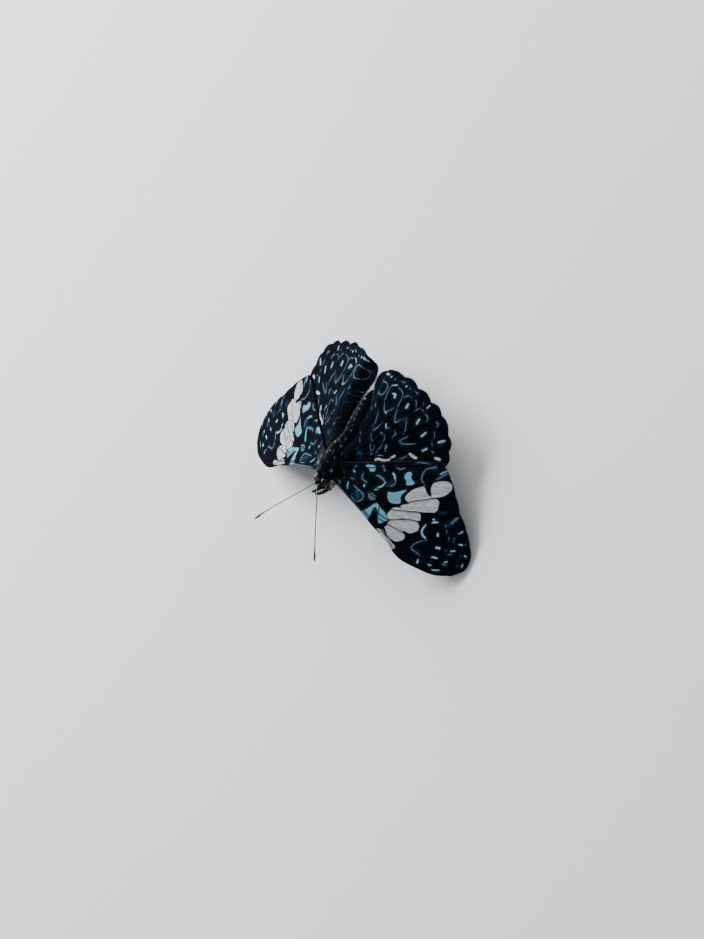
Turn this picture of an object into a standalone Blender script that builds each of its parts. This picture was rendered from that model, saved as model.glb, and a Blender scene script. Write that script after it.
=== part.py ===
"""Arinome cracker butterfly, life size, at rest with its wings spread flat and drooping.

Numbers are millimetres until MM turns them into metres. Each piece is laid out in the
insect's own directions: u sideways from the middle, v towards the head, and z up from
the level of the wing roots. place() turns these into X, Y and Z, with the head towards
-Y, the left wings at +X, and the floor under the feet.
"""
import math

import bmesh
import bpy
import numpy as np
from mathutils import Vector
from mathutils.geometry import delaunay_2d_cdt

MM = 0.001
GAP = 0.3                   # clearance between pieces that meet
STAND_HEIGHT = 12.5         # level of the wing roots above the floor

# Wings: the sheet, its veins and how it droops
WING_THICKNESS = 0.5
VEIN_HEIGHT = 0.2
VEIN_HALF_WIDTH = 0.5
VEIN_STEP = 2.0             # distance between points along a vein
EDGE_STEP = 1.6             # distance between points along an outline
MESH_STEP = 2.7             # distance between points in the open membrane
SNAP = 0.6                  # a vein's point this near to an edge or to another vein joins it
ROOT_LEVEL = -0.54
DROOP_SLOPE = -0.16
DROOP_CURVE = -0.0030
FORE_LIFT = 0.35            # rise of the forewing's rear half over the hindwing
HIND_DROP = 0.52            # drop of the hindwing's front under the forewing
HIND_RISE = 0.40            # rise of the hindwing's rear edge
FRONT_RISE = 0.7            # rise of the forewing's front edge near the body
FOLD_DROP = 1.0             # fall of the hindwing's inner edge beside the abdomen
WING_ROOT_U = 2.75
ROOT_ROOM = 0.5             # clearance before and behind a wing root in its slot
SLOT_REACH = 3.0            # how far the slot's cutter runs outwards
LIFT_FROM = 3.0             # v where that rise begins
LIFT_RUN = 6.0
HIND_RISE_RUN = 9.0
FRONT_RISE_FROM = 0.5
FRONT_RISE_RUN = 3.0
FRONT_FADE_FROM = 12.0      # u where the rise of the front edge begins to fade
FRONT_FADE_RUN = 14.0
FOLD_U = 1.2                # u where the fold by the abdomen is deepest
FOLD_WIDTH = 4.2
FOLD_FROM = -5.5            # v where the fold begins
FOLD_RUN = 6.0
OVERLAP_FADE = 0.8          # how fast the veins rise again past the other wing's edge
FORE_OVERLAP = 0.6          # the same edge's distance ahead of the hindwing
HIND_OVERLAP = 1.4          # and the one behind the forewing
OPEN_VEIN_ROOM = 1.2        # nearest that a point of the open membrane comes to a vein
OPEN_EDGE_ROOM = 1.0
FOOT_EDGE_ROOM = 0.4        # nearest that the foot of a vein comes to the margin
PROBE = 0.1                 # step used to measure the wing's slope
VEIN_FADE = 0.8             # a vein's ridge sinks this far before the margin
SPREAD = 0.953              # sideways reach of the drooping wing for each mm of its own length

# Forewing outline: front edge, outer edge by the ends of its veins, inner edge
FORE_FRONT = [(2.75, 1.6), (5.4, 2.5), (9.0, 3.3), (13.5, 4.4), (18.0, 5.9), (21.6, 6.9),
              (25.2, 8.5), (28.0, 9.1), (32.4, 8.9), (36.2, 8.4), (39.9, 6.8), (41.8, 4.8),
              (42.4, 3.4), (42.3, 2.0)]
FORE_OUTER = [(42.3, 2.0), (41.1, -0.4), (38.8, -3.1), (36.0, -5.3), (33.4, -8.0),
              (30.4, -10.7), (27.0, -12.7)]
FORE_INNER = [(27.0, -12.7), (22.5, -11.1), (18.0, -9.0), (13.5, -6.7), (9.0, -4.7),
              (5.6, -3.1), (2.75, -1.5)]
FORE_SCALLOP = 0.25

# Hindwing outline, in the same way
HIND_FRONT = [(2.75, -2.2), (6.0, -1.8), (11.0, -2.4), (18.0, -5.0), (24.0, -8.5), (27.3, -12.0)]
HIND_OUTER = [(27.3, -12.0), (26.9, -15.3), (25.4, -18.4), (22.1, -21.3), (18.3, -22.5),
              (13.7, -23.7), (9.2, -24.4), (3.4, -23.3)]
HIND_INNER = [(3.4, -23.3), (1.9, -23.1), (0.8, -22.4), (0.3, -21.2), (0.35, -19.9), (0.9, -18.5),
              (1.8, -16.4), (2.35, -14.0), (2.55, -11.0), (2.6, -8.0), (2.75, -5.0)]
HIND_SCALLOP = 0.75

# Veins, each from its root or fork out to the edge
FORE_VEINS = [
    [(2.9, 1.2), (9.0, 2.8), (14.0, 4.0), (20.5, 6.5)],
    [(2.9, 0.7), (9.0, 2.3), (13.5, 3.5), (17.8, 4.9), (21.5, 6.1), (26.8, 8.9)],
    [(17.8, 4.9), (24.0, 6.4), (31.0, 6.9), (37.0, 6.3), (41.9, 4.5)],
    [(24.0, 6.4), (28.5, 7.7), (32.8, 8.8)],
    [(31.0, 6.9), (36.8, 4.7), (42.3, 2.0)],
    [(17.8, 4.9), (18.4, 3.9), (22.5, 3.9), (28.0, 3.7), (34.5, 2.1), (41.1, -0.4)],
    [(18.4, 3.9), (18.1, 3.0), (21.0, 3.0), (25.0, 1.0), (31.0, -0.6), (38.8, -3.1)],
    [(18.1, 3.0), (17.2, 1.0), (20.5, 0.8), (26.0, -1.1), (31.0, -2.9), (36.0, -5.3)],
    [(2.9, -0.2), (7.0, 0.2), (11.0, 0.1), (15.0, 0.4), (17.2, 1.0)],
    [(15.0, 0.4), (20.5, -0.3), (25.2, -3.2), (29.7, -6.0), (33.4, -8.0)],
    [(11.0, 0.1), (15.3, -1.6), (20.0, -4.0), (25.0, -7.0), (30.4, -10.7)],
    [(2.9, -1.0), (9.0, -3.6), (14.4, -6.0), (19.8, -8.8), (27.0, -12.7)],
]
HIND_VEINS = [
    [(2.9, -2.8), (10.8, -4.2), (18.0, -6.6), (24.0, -9.9), (27.3, -12.0)],
    [(2.9, -3.4), (8.6, -6.3), (18.0, -9.5), (23.4, -12.5), (26.9, -15.3)],
    [(8.6, -6.3), (9.4, -7.6), (16.2, -11.7), (21.6, -15.1), (25.4, -18.4)],
    [(9.4, -7.6), (9.6, -8.9), (13.5, -12.8), (18.0, -17.0), (22.1, -21.3)],
    [(9.6, -8.9), (8.9, -9.6), (11.7, -14.0), (15.0, -18.4), (18.3, -22.5)],
    [(2.9, -4.0), (5.2, -6.0), (7.2, -8.4), (8.9, -9.6)],
    [(7.2, -8.4), (9.0, -13.5), (11.1, -18.4), (13.7, -23.7)],
    [(2.9, -4.6), (5.6, -11.7), (7.2, -18.2), (9.2, -24.4)],
    [(2.9, -5.0), (3.5, -12.0), (3.6, -18.0), (3.4, -23.3)],
]

# Body rings from front to back: v, z of the centre, half width, half height
HEAD_RINGS = [(5.1, -1.0, 0.35, 0.45), (4.8, -0.9, 0.75, 0.85), (4.2, -0.75, 1.2, 1.25),
              (3.3, -0.7, 1.5, 1.45), (2.2, -0.85, 1.4, 1.4), (1.6, -1.1, 1.1, 1.15)]
THORAX_RINGS = [(1.3, -1.2, 1.1, 1.15), (0.9, -1.3, 1.6, 1.6), (-0.3, -1.7, 2.6, 2.3),
                (-1.8, -2.0, 3.1, 2.6), (-3.6, -2.1, 3.0, 2.5), (-5.4, -2.2, 2.3, 2.1),
                (-6.8, -2.3, 1.5, 1.6), (-7.1, -2.32, 1.3, 1.45)]
ABDOMEN_RINGS = [(-7.4, -2.35, 1.3, 1.4), (-8.2, -2.5, 1.75, 1.6), (-10.5, -2.65, 1.9, 1.7),
                 (-13.5, -2.75, 1.7, 1.5), (-16.0, -2.8, 1.2, 1.15), (-17.5, -3.0, 0.7, 0.75),
                 (-18.1, -3.1, 0.3, 0.35)]
BODY_SIDES = 20
ABDOMEN_SEGMENTS = 7
SEGMENT_WAIST = 0.06        # how far the abdomen draws in where two segments meet

# Eyes: centre, half sizes, and how near the middle their flat inner face lies
EYE_CENTRE = (1.3, 3.2, -0.5)
EYE_SIZE = (0.9, 1.05, 1.05)
EYE_INNER_U = 0.85

# Paths of the thin limbs: u, v, z and radius
PALP = [(0.85, 3.4, -2.1, 0.3), (0.95, 4.4, -2.2, 0.38), (0.88, 5.4, -1.5, 0.38), (0.75, 6.0, -0.7, 0.3),
        (0.62, 6.4, 0.0, 0.12)]
ANTENNA = [(0.55, 4.0, -0.1, 0.28), (0.8, 4.7, 0.45, 0.3), (3.9, 8.3, 0.9, 0.25), (7.9, 12.9, 1.5, 0.25),
           (10.2, 15.6, 1.75, 0.3), (11.3, 17.0, 1.8, 0.4), (11.95, 17.8, 1.75, 0.2)]
FORELEG = [(0.9, 0.9, -2.6, 0.35), (1.5, 2.2, -4.2, 0.35), (1.9, 2.6, -5.0, 0.3), (1.8, 1.6, -5.6, 0.28),
           (1.6, 0.2, -5.8, 0.15)]
MIDLEG = [(1.0, -0.6, -3.7, 0.5), (2.0, -0.3, -4.6, 0.6), (4.6, 0.4, -4.7, 0.5), (6.7, 1.0, -4.2, 0.35),
          (7.3, 1.3, -5.1, 0.3), (8.3, 2.1, -9.3, 0.34), (8.7, 2.5, -11.7, 0.27),
          (9.2, 3.2, -12.28, 0.27), (10.2, 5.2, -12.3, 0.26), (11.0, 6.8, -12.3, 0.2)]
HINDLEG = [(1.0, -3.9, -3.7, 0.5), (2.0, -4.6, -4.6, 0.6), (4.6, -6.6, -5.2, 0.5), (6.4, -8.4, -5.0, 0.35),
           (6.9, -9.2, -5.9, 0.3), (7.7, -12.2, -9.6, 0.34), (8.1, -13.6, -11.7, 0.27),
           (8.3, -14.4, -12.28, 0.27), (8.8, -17.0, -12.3, 0.26), (9.1, -18.6, -12.3, 0.2)]
LIMB_SIDES = 8

# Proboscis: a flat coil under the head
COIL_CENTRE = (4.0, -3.15)
COIL_OUTER = 1.05
COIL_PITCH = 0.85
COIL_TURNS = 0.95
COIL_RADIUS = 0.25
COIL_POINTS = 18

BLACK = (0.012, 0.013, 0.016)
WING_BLACK = (0.016, 0.022, 0.032)
LEG_BROWN = (0.06, 0.045, 0.035)
EYE_BROWN = (0.05, 0.025, 0.015)


def place(u, v, z):
    """The point of the model that lies at u, v and z of the insect."""
    return Vector((u, -v, z + STAND_HEIGHT)) * MM


def smooth(points, step):
    """Points of a smooth curve through the given ones, about one step apart."""
    points = np.array(points, float)
    first = 2 * points[0] - points[1]
    last = 2 * points[-1] - points[-2]
    knots = np.vstack([first, points, last])
    path = [points[0]]
    for a, b, c, d in zip(knots, knots[1:], knots[2:], knots[3:]):
        parts = max(1, round(np.linalg.norm(c - b) / step))
        for i in range(1, parts + 1):
            t = i / parts
            bend = (2 * a - 5 * b + 4 * c - d) * t ** 2 + (3 * b - a - 3 * c + d) * t ** 3
            path.append(0.5 * (2 * b + (c - a) * t + bend))
    return np.array(path)


def ease(t):
    """Rise smoothly from 0 to 1 while t does."""
    t = min(1.0, max(0.0, t))
    return t * t * (3 - 2 * t)


def material(name, colour, roughness):
    """A Principled material, made once for each name."""
    if name in bpy.data.materials:
        return bpy.data.materials[name]
    new = bpy.data.materials.new(name)
    new.use_nodes = True
    shader = new.node_tree.nodes["Principled BSDF"]
    shader.inputs["Base Color"].default_value = (*colour, 1.0)
    shader.inputs["Roughness"].default_value = roughness
    shader.inputs["Metallic"].default_value = 0.0
    return new


def make_object(name, bm, finish):
    """Turn a closed bmesh into a named object with its material, faces pointing out."""
    bmesh.ops.recalc_face_normals(bm, faces=bm.faces)
    if bm.calc_volume(signed=True) < 0:
        bmesh.ops.reverse_faces(bm, faces=bm.faces)
    mesh = bpy.data.meshes.new(name)
    bm.to_mesh(mesh)
    bm.free()
    mesh.shade_smooth()
    mesh.set_sharp_from_angle(angle=math.radians(50))
    mesh.materials.append(finish)
    obj = bpy.data.objects.new(name, mesh)
    bpy.context.collection.objects.link(obj)
    return obj


def skin_rings(rings):
    """A closed bmesh over a row of rings of points, each with as many points as the next."""
    bm = bmesh.new()
    rows = [[bm.verts.new(point) for point in ring] for ring in rings]
    for row, following in zip(rows, rows[1:]):
        for i in range(len(row)):
            j = (i + 1) % len(row)
            bm.faces.new((row[i], row[j], following[j], following[i]))
    bm.faces.new(rows[0][::-1])
    bm.faces.new(rows[-1])
    return bm


def body_length(name, stations, finish, step=0.9, segments=0):
    """A length of the body: oval rings, drawn in a little between any segments."""
    rings = []
    start = stations[0][0]
    length = start - stations[-1][0]
    for v, z, width, height in smooth(stations, step):
        if segments:
            phase = (start - v) / length * segments
            pull = SEGMENT_WAIST * math.cos(2 * math.pi * phase)
            width -= pull
            height -= pull
        ring = []
        for i in range(BODY_SIDES):
            angle = 2 * math.pi * i / BODY_SIDES
            ring.append(place(width * math.cos(angle), v, z + height * math.sin(angle)))
        rings.append(ring)
    return make_object(name, skin_rings(rings), finish)


def limb(name, stations, finish, side, swell=0.0, step=1.4):
    """A tapering tube along u, v, z and radius, flat where it lies on the floor."""
    stations = np.array(stations, float)
    path = smooth(stations, step)
    if swell:
        path[0, :3] -= (path[1, :3] - path[0, :3]) / np.linalg.norm(path[1, :3] - path[0, :3]) * swell
    centres = [Vector((side * u, -v, z + STAND_HEIGHT)) for u, v, z, _ in path]
    across = (centres[1] - centres[0]).orthogonal().normalized()
    rings = []
    for i, centre in enumerate(centres):
        along = centres[min(i + 1, len(centres) - 1)] - centres[max(i - 1, 0)]
        along.normalize()
        across = (across - along * across.dot(along)).normalized()
        upward = along.cross(across)
        radius = path[i, 3] + swell
        ring = []
        for k in range(LIMB_SIDES):
            angle = 2 * math.pi * (k + 0.5) / LIMB_SIDES
            point = centre + (across * math.cos(angle) + upward * math.sin(angle)) * radius
            point.z = max(point.z, 0.0)
            ring.append(point * MM)
        rings.append(ring)
    return make_object(name, skin_rings(rings), finish)


def eye(name, finish, side, swell=0.0):
    """An oval eye whose inner face is flat."""
    bm = bmesh.new()
    bmesh.ops.create_uvsphere(bm, u_segments=18, v_segments=12, radius=1.0)
    for vertex in bm.verts:
        u, v, z = (centre + unit * (half + swell)
                   for centre, unit, half in zip(EYE_CENTRE, vertex.co, EYE_SIZE))
        vertex.co = place(side * max(u, EYE_INNER_U - swell), v, z)
    bmesh.ops.remove_doubles(bm, verts=bm.verts, dist=1e-6)
    bmesh.ops.dissolve_degenerate(bm, edges=bm.edges, dist=1e-6)
    return make_object(name, bm, finish)


def proboscis(name, finish, swell=0.0):
    """The sucking tube, coiled flat in the middle under the head."""
    stations = []
    for i in range(COIL_POINTS + 1):
        turned = COIL_TURNS * i / COIL_POINTS
        reach = COIL_OUTER - COIL_PITCH * turned
        angle = math.radians(90) + 2 * math.pi * turned
        v = COIL_CENTRE[0] + reach * math.cos(angle)
        z = COIL_CENTRE[1] + reach * math.sin(angle)
        stations.append((0.0, v, z, COIL_RADIUS))
    return limb(name, stations, finish, 1, swell)


def root_box(name, front_edge, inner_edge, level, side):
    """A box round a wing root, used to cut its slot in the thorax."""
    bm = bmesh.new()
    bmesh.ops.create_cube(bm, size=1.0)
    inner = WING_ROOT_U - GAP
    outer = WING_ROOT_U + SLOT_REACH
    front = front_edge[0][1] + ROOT_ROOM
    back = inner_edge[-1][1] - ROOT_ROOM
    half_height = WING_THICKNESS / 2 + VEIN_HEIGHT + GAP
    for vertex in bm.verts:
        u = inner if vertex.co.x < 0 else outer
        v = back if vertex.co.y < 0 else front
        z = level(u, v) + (half_height if vertex.co.z > 0 else -half_height)
        vertex.co = place(side * u, v, z)
    return make_object(name, bm, material("wing_black", WING_BLACK, 0.5))


def cut_away(target, cutters):
    """Take the cutters out of the target and keep its largest closed surface."""
    for cutter in cutters:
        cutter.hide_render = True
        cutter.display_type = "WIRE"
        cut = target.modifiers.new("clear " + cutter.name, "BOOLEAN")
        cut.operation = "DIFFERENCE"
        cut.solver = "EXACT"
        cut.object = cutter
    bpy.context.view_layer.update()
    evaluated = target.evaluated_get(bpy.context.evaluated_depsgraph_get())
    bm = bmesh.new()
    bm.from_mesh(evaluated.to_mesh())
    evaluated.to_mesh_clear()
    target.modifiers.clear()
    for cutter in cutters:
        bpy.data.objects.remove(cutter)
    keep_largest(bm)
    bm.to_mesh(target.data)
    bm.free()


def keep_largest(bm):
    """Delete every surface but the one with the most faces."""
    waiting = set(bm.faces)
    surfaces = []
    while waiting:
        surface = []
        front = [waiting.pop()]
        while front:
            face = front.pop()
            surface.append(face)
            for edge in face.edges:
                for neighbour in edge.link_faces:
                    if neighbour in waiting:
                        waiting.remove(neighbour)
                        front.append(neighbour)
        surfaces.append(surface)
    surfaces.sort(key=len)
    for surface in surfaces[:-1]:
        bmesh.ops.delete(bm, geom=surface, context="FACES")


def reach(u):
    """How far sideways a point lies that is u along the wing laid flat."""
    return WING_ROOT_U + (u - WING_ROOT_U) * SPREAD


def droop(u):
    """Level of both wings' common arch at u."""
    out = reach(u)
    return ROOT_LEVEL + DROOP_SLOPE * out + DROOP_CURVE * out * out


def fore_level(u, v):
    """Middle of the forewing's sheet."""
    along_front = ease((v - FRONT_RISE_FROM) / FRONT_RISE_RUN)
    near_body = 1.0 - ease((u - FRONT_FADE_FROM) / FRONT_FADE_RUN)
    rear_lift = FORE_LIFT * ease((LIFT_FROM - v) / LIFT_RUN)
    return droop(u) + rear_lift + FRONT_RISE * along_front * near_body


def hind_level(u, v):
    """Middle of the hindwing's sheet, low under the forewing and rising behind it."""
    inner_edge = np.interp(u, *zip(*FORE_INNER[::-1]))
    behind = ease((inner_edge - v) / HIND_RISE_RUN)
    fold = (1.0 - ease((u - FOLD_U) / FOLD_WIDTH)) * ease((FOLD_FROM - v) / FOLD_RUN)
    return droop(u) - HIND_DROP + (HIND_DROP + HIND_RISE) * behind - FOLD_DROP * fold


def scalloped(ends, depth):
    """An outer edge that swells by depth between each pair of vein ends."""
    edge = [np.array(ends[0])]
    for start, end in zip(ends, ends[1:]):
        start = np.array(start)
        end = np.array(end)
        run = end - start
        outward = np.array((-run[1], run[0])) / np.linalg.norm(run)
        parts = max(3, round(np.linalg.norm(run) / EDGE_STEP))
        for i in range(1, parts + 1):
            t = i / parts
            edge.append(start + run * t + outward * depth * math.sin(math.pi * t))
    return np.array(edge)


def distance(point, start, end):
    """Distance from a point to the straight line between two others."""
    run = end - start
    t = np.clip(np.dot(point - start, run) / np.dot(run, run), 0.0, 1.0)
    return np.linalg.norm(point - start - run * t)


def inside(point, outline):
    """Whether the point lies within the outline."""
    u, v = point
    within = False
    for (u1, v1), (u2, v2) in zip(outline, np.roll(outline, -1, axis=0)):
        if (v1 > v) != (v2 > v) and u < u1 + (v - v1) * (u2 - u1) / (v2 - v1):
            within = not within
    return within


def hindwing_below(u, v):
    """1 where the forewing lies over the hindwing, easing to 0 ahead of it."""
    front_edge = np.interp(u, *zip(*HIND_FRONT))
    return 1.0 - ease((v - front_edge - FORE_OVERLAP) / OVERLAP_FADE)


def forewing_above(u, v):
    """1 where the hindwing lies under the forewing, easing to 0 behind it."""
    inner_edge = np.interp(u, *zip(*FORE_INNER[::-1]))
    return ease((v - inner_edge + HIND_OVERLAP) / OVERLAP_FADE)


def wing(name, finish, side, front, outer, inner, scallop, veins, level, covered_face, covered):
    """A wing: one drooping sheet, with its veins raised out of both faces.

    The face that lies against the other wing (1 for the upper, -1 for the lower) stays
    smooth where they overlap.
    """
    outline = np.vstack([smooth(front, EDGE_STEP)[:-1], scalloped(outer, scallop)[:-1],
                         smooth(inner, EDGE_STEP)])
    crests = [smooth(vein, VEIN_STEP) for vein in veins]
    runs = [(a, b) for crest in crests for a, b in zip(crest, crest[1:])]
    edges = [(a, b) for a, b in zip(outline, np.roll(outline, -1, axis=0))]

    def clear_of(point, lines, room):
        return all(distance(point, a, b) > room for a, b in lines)

    points = [tuple(point) for point in outline]
    links = [(i, (i + 1) % len(points)) for i in range(len(points))]
    for crest in crests:
        numbers = []
        for point in crest:
            nearest = min(range(len(points)), key=lambda i: np.hypot(*(np.array(points[i]) - point)))
            if np.hypot(*(np.array(points[nearest]) - point)) > SNAP:
                points.append(tuple(point))
                nearest = len(points) - 1
            numbers.append(nearest)
        links += [(a, b) for a, b in zip(numbers, numbers[1:]) if a != b]
    foot = []
    for a, b in runs:
        run = b - a
        normal = np.array((-run[1], run[0])) / np.linalg.norm(run) * VEIN_HALF_WIDTH
        for offset in (normal, -normal):
            point = (a + b) / 2 + offset
            beside = all(np.hypot(*(point - other)) > VEIN_HALF_WIDTH for other in foot)
            if inside(point, outline) and clear_of(point, runs, VEIN_HALF_WIDTH * 0.9) and beside:
                if clear_of(point, edges, FOOT_EDGE_ROOM):
                    foot.append(point)
    points += [tuple(point) for point in foot]
    low = outline.min(axis=0)
    high = outline.max(axis=0)
    for row, v in enumerate(np.arange(low[1], high[1], MESH_STEP * 0.87)):
        for u in np.arange(low[0] + (row % 2) * MESH_STEP / 2, high[0], MESH_STEP):
            point = np.array((u, v))
            clear = clear_of(point, runs, OPEN_VEIN_ROOM) and clear_of(point, edges, OPEN_EDGE_ROOM)
            if clear and inside(point, outline):
                points.append((u, v))

    sheet = delaunay_2d_cdt([Vector(point) for point in points], links, [], 1, 1e-4)
    flat, triangles = sheet[0], sheet[2]
    bm = bmesh.new()
    top = []
    bottom = []
    for point in flat:
        u, v = point
        near = min(distance(np.array((u, v)), a, b) for a, b in runs)
        margin = min(distance(np.array((u, v)), a, b) for a, b in edges)
        ridge = VEIN_HEIGHT * max(0.0, 1.0 - near / VEIN_HALF_WIDTH) * min(1.0, margin / VEIN_FADE)
        lean = (level(u + PROBE, v) - level(u - PROBE, v)) / (2 * PROBE) / SPREAD
        rake = (level(u, v + PROBE) - level(u, v - PROBE)) / (2 * PROBE)
        normal = Vector((-lean, -rake, 1.0)).normalized()
        middle = Vector((reach(u), v, level(u, v)))
        for face, direction in ((top, 1), (bottom, -1)):
            raised = ridge * (1.0 - covered(u, v)) if direction == covered_face else ridge
            out, along, up = middle + normal * direction * (WING_THICKNESS / 2 + raised)
            face.append(bm.verts.new(place(side * out, along, up)))
    rim = {}
    for a, b, c in triangles:
        bm.faces.new((top[a], top[b], top[c]))
        bm.faces.new((bottom[c], bottom[b], bottom[a]))
        for start, end in ((a, b), (b, c), (c, a)):
            rim[(start, end)] = (end, start) not in rim
            if (end, start) in rim:
                rim[(end, start)] = False
    for (start, end), open_edge in rim.items():
        if open_edge:
            bm.faces.new((top[end], top[start], bottom[start]))
            bm.faces.new((top[end], bottom[start], bottom[end]))
    return make_object(name, bm, finish)


def make_body():
    """Head, thorax and abdomen, with sockets for all that grows from them."""
    black = material("body_black", BLACK, 0.7)
    head = body_length("head", HEAD_RINGS, black, step=0.6)
    thorax = body_length("thorax", THORAX_RINGS, black)
    body_length("abdomen", ABDOMEN_RINGS, black, step=0.4, segments=ABDOMEN_SEGMENTS)
    from_head = [proboscis("cut_coil", black, GAP)]
    from_thorax = []
    for side in (1, -1):
        from_head += [eye("cut_eye", black, side, GAP), limb("cut_palp", PALP, black, side, GAP),
                      limb("cut_antenna", ANTENNA[:3], black, side, GAP)]
        from_thorax.append(root_box("cut_fore", FORE_FRONT, FORE_INNER, fore_level, side))
        from_thorax.append(root_box("cut_hind", HIND_FRONT, HIND_INNER, hind_level, side))
        for name, path in (("fore", FORELEG), ("mid", MIDLEG), ("hind", HINDLEG)):
            from_thorax.append(limb("cut_" + name, path[:4], black, side, GAP))
    cut_away(head, from_head)
    cut_away(thorax, from_thorax)


def make_head_parts():
    """Eyes, palps, antennae and proboscis."""
    black = material("body_black", BLACK, 0.7)
    brown = material("leg_brown", LEG_BROWN, 0.6)
    for side, word in ((1, "left"), (-1, "right")):
        eye("eye_" + word, material("eye_brown", EYE_BROWN, 0.2), side)
        limb("palp_" + word, PALP, black, side, step=0.7)
        limb("antenna_" + word, ANTENNA, black, side)
    proboscis("proboscis", brown)


def make_legs():
    """Three pairs of legs; the front pair is small and folded, and doesn't reach the floor."""
    brown = material("leg_brown", LEG_BROWN, 0.6)
    for side, word in ((1, "left"), (-1, "right")):
        limb("foreleg_" + word, FORELEG, brown, side, step=0.9)
        limb("midleg_" + word, MIDLEG, brown, side)
        limb("hindleg_" + word, HINDLEG, brown, side)


def make_wings():
    """Two forewings over two hindwings."""
    dark = material("wing_black", WING_BLACK, 0.5)
    for side, word in ((1, "left"), (-1, "right")):
        wing("forewing_" + word, dark, side, FORE_FRONT, FORE_OUTER, FORE_INNER, FORE_SCALLOP, FORE_VEINS,
             fore_level, -1, hindwing_below)
        wing("hindwing_" + word, dark, side, HIND_FRONT, HIND_OUTER, HIND_INNER, HIND_SCALLOP, HIND_VEINS,
             hind_level, 1, forewing_above)


def centre_on_origin():
    """Move every piece so that the origin is below the middle of the whole insect."""
    bpy.context.view_layer.update()
    pieces = [obj for obj in bpy.data.objects if obj.type == "MESH"]
    corners = np.array([vertex.co[:] for obj in pieces for vertex in obj.data.vertices])
    middle = (corners.min(axis=0) + corners.max(axis=0)) / 2
    shift = Vector((-middle[0], -middle[1], -corners[:, 2].min()))
    for obj in pieces:
        for vertex in obj.data.vertices:
            vertex.co += shift
    print("shift in mm", [round(value / MM, 3) for value in shift], "size", np.ptp(corners, axis=0) / MM)


for old in list(bpy.data.objects):
    bpy.data.objects.remove(old)
make_body()
make_head_parts()
make_legs()
make_wings()
centre_on_origin()
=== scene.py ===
# %% [markdown]
# # A cracker butterfly, life size
# The arinome cracker butterfly rests with its wings spread flat, drooping a little at the
# tips. It is built here over its own CAD solids: thin veined wings with the real pattern,
# a furry body, faceted eyes, ringed feelers and spiny legs. This first cell loads those
# solids as the frame.

# %% Load the frame
import math
from functools import partial

import bpy
import numpy as np
from mathutils import Matrix, Vector


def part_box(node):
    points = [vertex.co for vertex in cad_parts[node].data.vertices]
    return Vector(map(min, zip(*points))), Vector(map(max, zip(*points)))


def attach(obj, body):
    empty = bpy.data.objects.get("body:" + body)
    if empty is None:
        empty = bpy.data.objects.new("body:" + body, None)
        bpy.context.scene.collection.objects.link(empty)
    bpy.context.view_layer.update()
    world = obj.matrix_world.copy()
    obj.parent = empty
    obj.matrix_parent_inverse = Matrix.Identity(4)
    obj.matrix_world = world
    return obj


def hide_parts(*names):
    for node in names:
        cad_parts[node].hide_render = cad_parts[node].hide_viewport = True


MM = 0.001
STAND_HEIGHT = 12.5         # level of the wing roots above the floor
THORAX_FRONT = 1.3          # how far ahead of the wing roots the thorax begins
SIDES = {1: "left", -1: "right"}
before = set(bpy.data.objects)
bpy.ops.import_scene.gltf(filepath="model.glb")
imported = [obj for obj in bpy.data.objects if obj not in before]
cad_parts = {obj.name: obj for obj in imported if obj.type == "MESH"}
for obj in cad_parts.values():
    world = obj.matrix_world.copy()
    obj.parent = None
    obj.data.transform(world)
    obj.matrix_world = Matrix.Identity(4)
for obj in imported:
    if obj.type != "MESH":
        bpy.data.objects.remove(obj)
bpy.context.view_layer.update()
ROOT_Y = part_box("thorax")[0][1] / MM + THORAX_FRONT
print("frame of", len(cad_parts), "nodes, wing roots at y", round(ROOT_Y, 3), "mm")

# %% [markdown]
# The insect's own directions are handy for measuring: u sideways from the middle, v
# towards the head, and z up from the wing roots, all in millimetres. One function turns
# them into the scene's metres. It takes whole columns of numbers at once, which keeps
# the tens of thousands of points of a wing quick.


# %% From the insect's directions to the scene's
def place(u, v, z):
    """Scene points, one a row, for columns of u, v and z in millimetres."""
    return np.stack([u, ROOT_Y - v, z + STAND_HEIGHT], axis=-1) * MM


def smooth(points, step):
    """Points of a smooth curve through the given ones, about one step apart."""
    points = np.array(points, float)
    knots = np.vstack([2 * points[0] - points[1], points, 2 * points[-1] - points[-2]])
    path = [points[0]]
    for a, b, c, d in zip(knots, knots[1:], knots[2:], knots[3:]):
        parts = max(1, round(np.linalg.norm((c - b)[:2]) / step))
        for i in range(1, parts + 1):
            t = i / parts
            bend = (2 * a - 5 * b + 4 * c - d) * t ** 2 + (3 * b - a - 3 * c + d) * t ** 3
            path.append(0.5 * (2 * b + (c - a) * t + bend))
    return np.array(path)


def ease(t):
    """Rise smoothly from 0 to 1 while t does."""
    t = np.clip(t, 0.0, 1.0)
    return t * t * (3 - 2 * t)


print("the wing root is at", place(0.0, 0.0, 0.0))

# %% [markdown]
# The camera looks from the insect's left and from above, and is turned a little about
# its own axis. Its directions are given as three arrows: right, up, and back from the
# insect towards the camera. This butterfly likes to rest head down; here it stands on
# the floor, and the camera is turned with it, which gives the same view.

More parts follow.
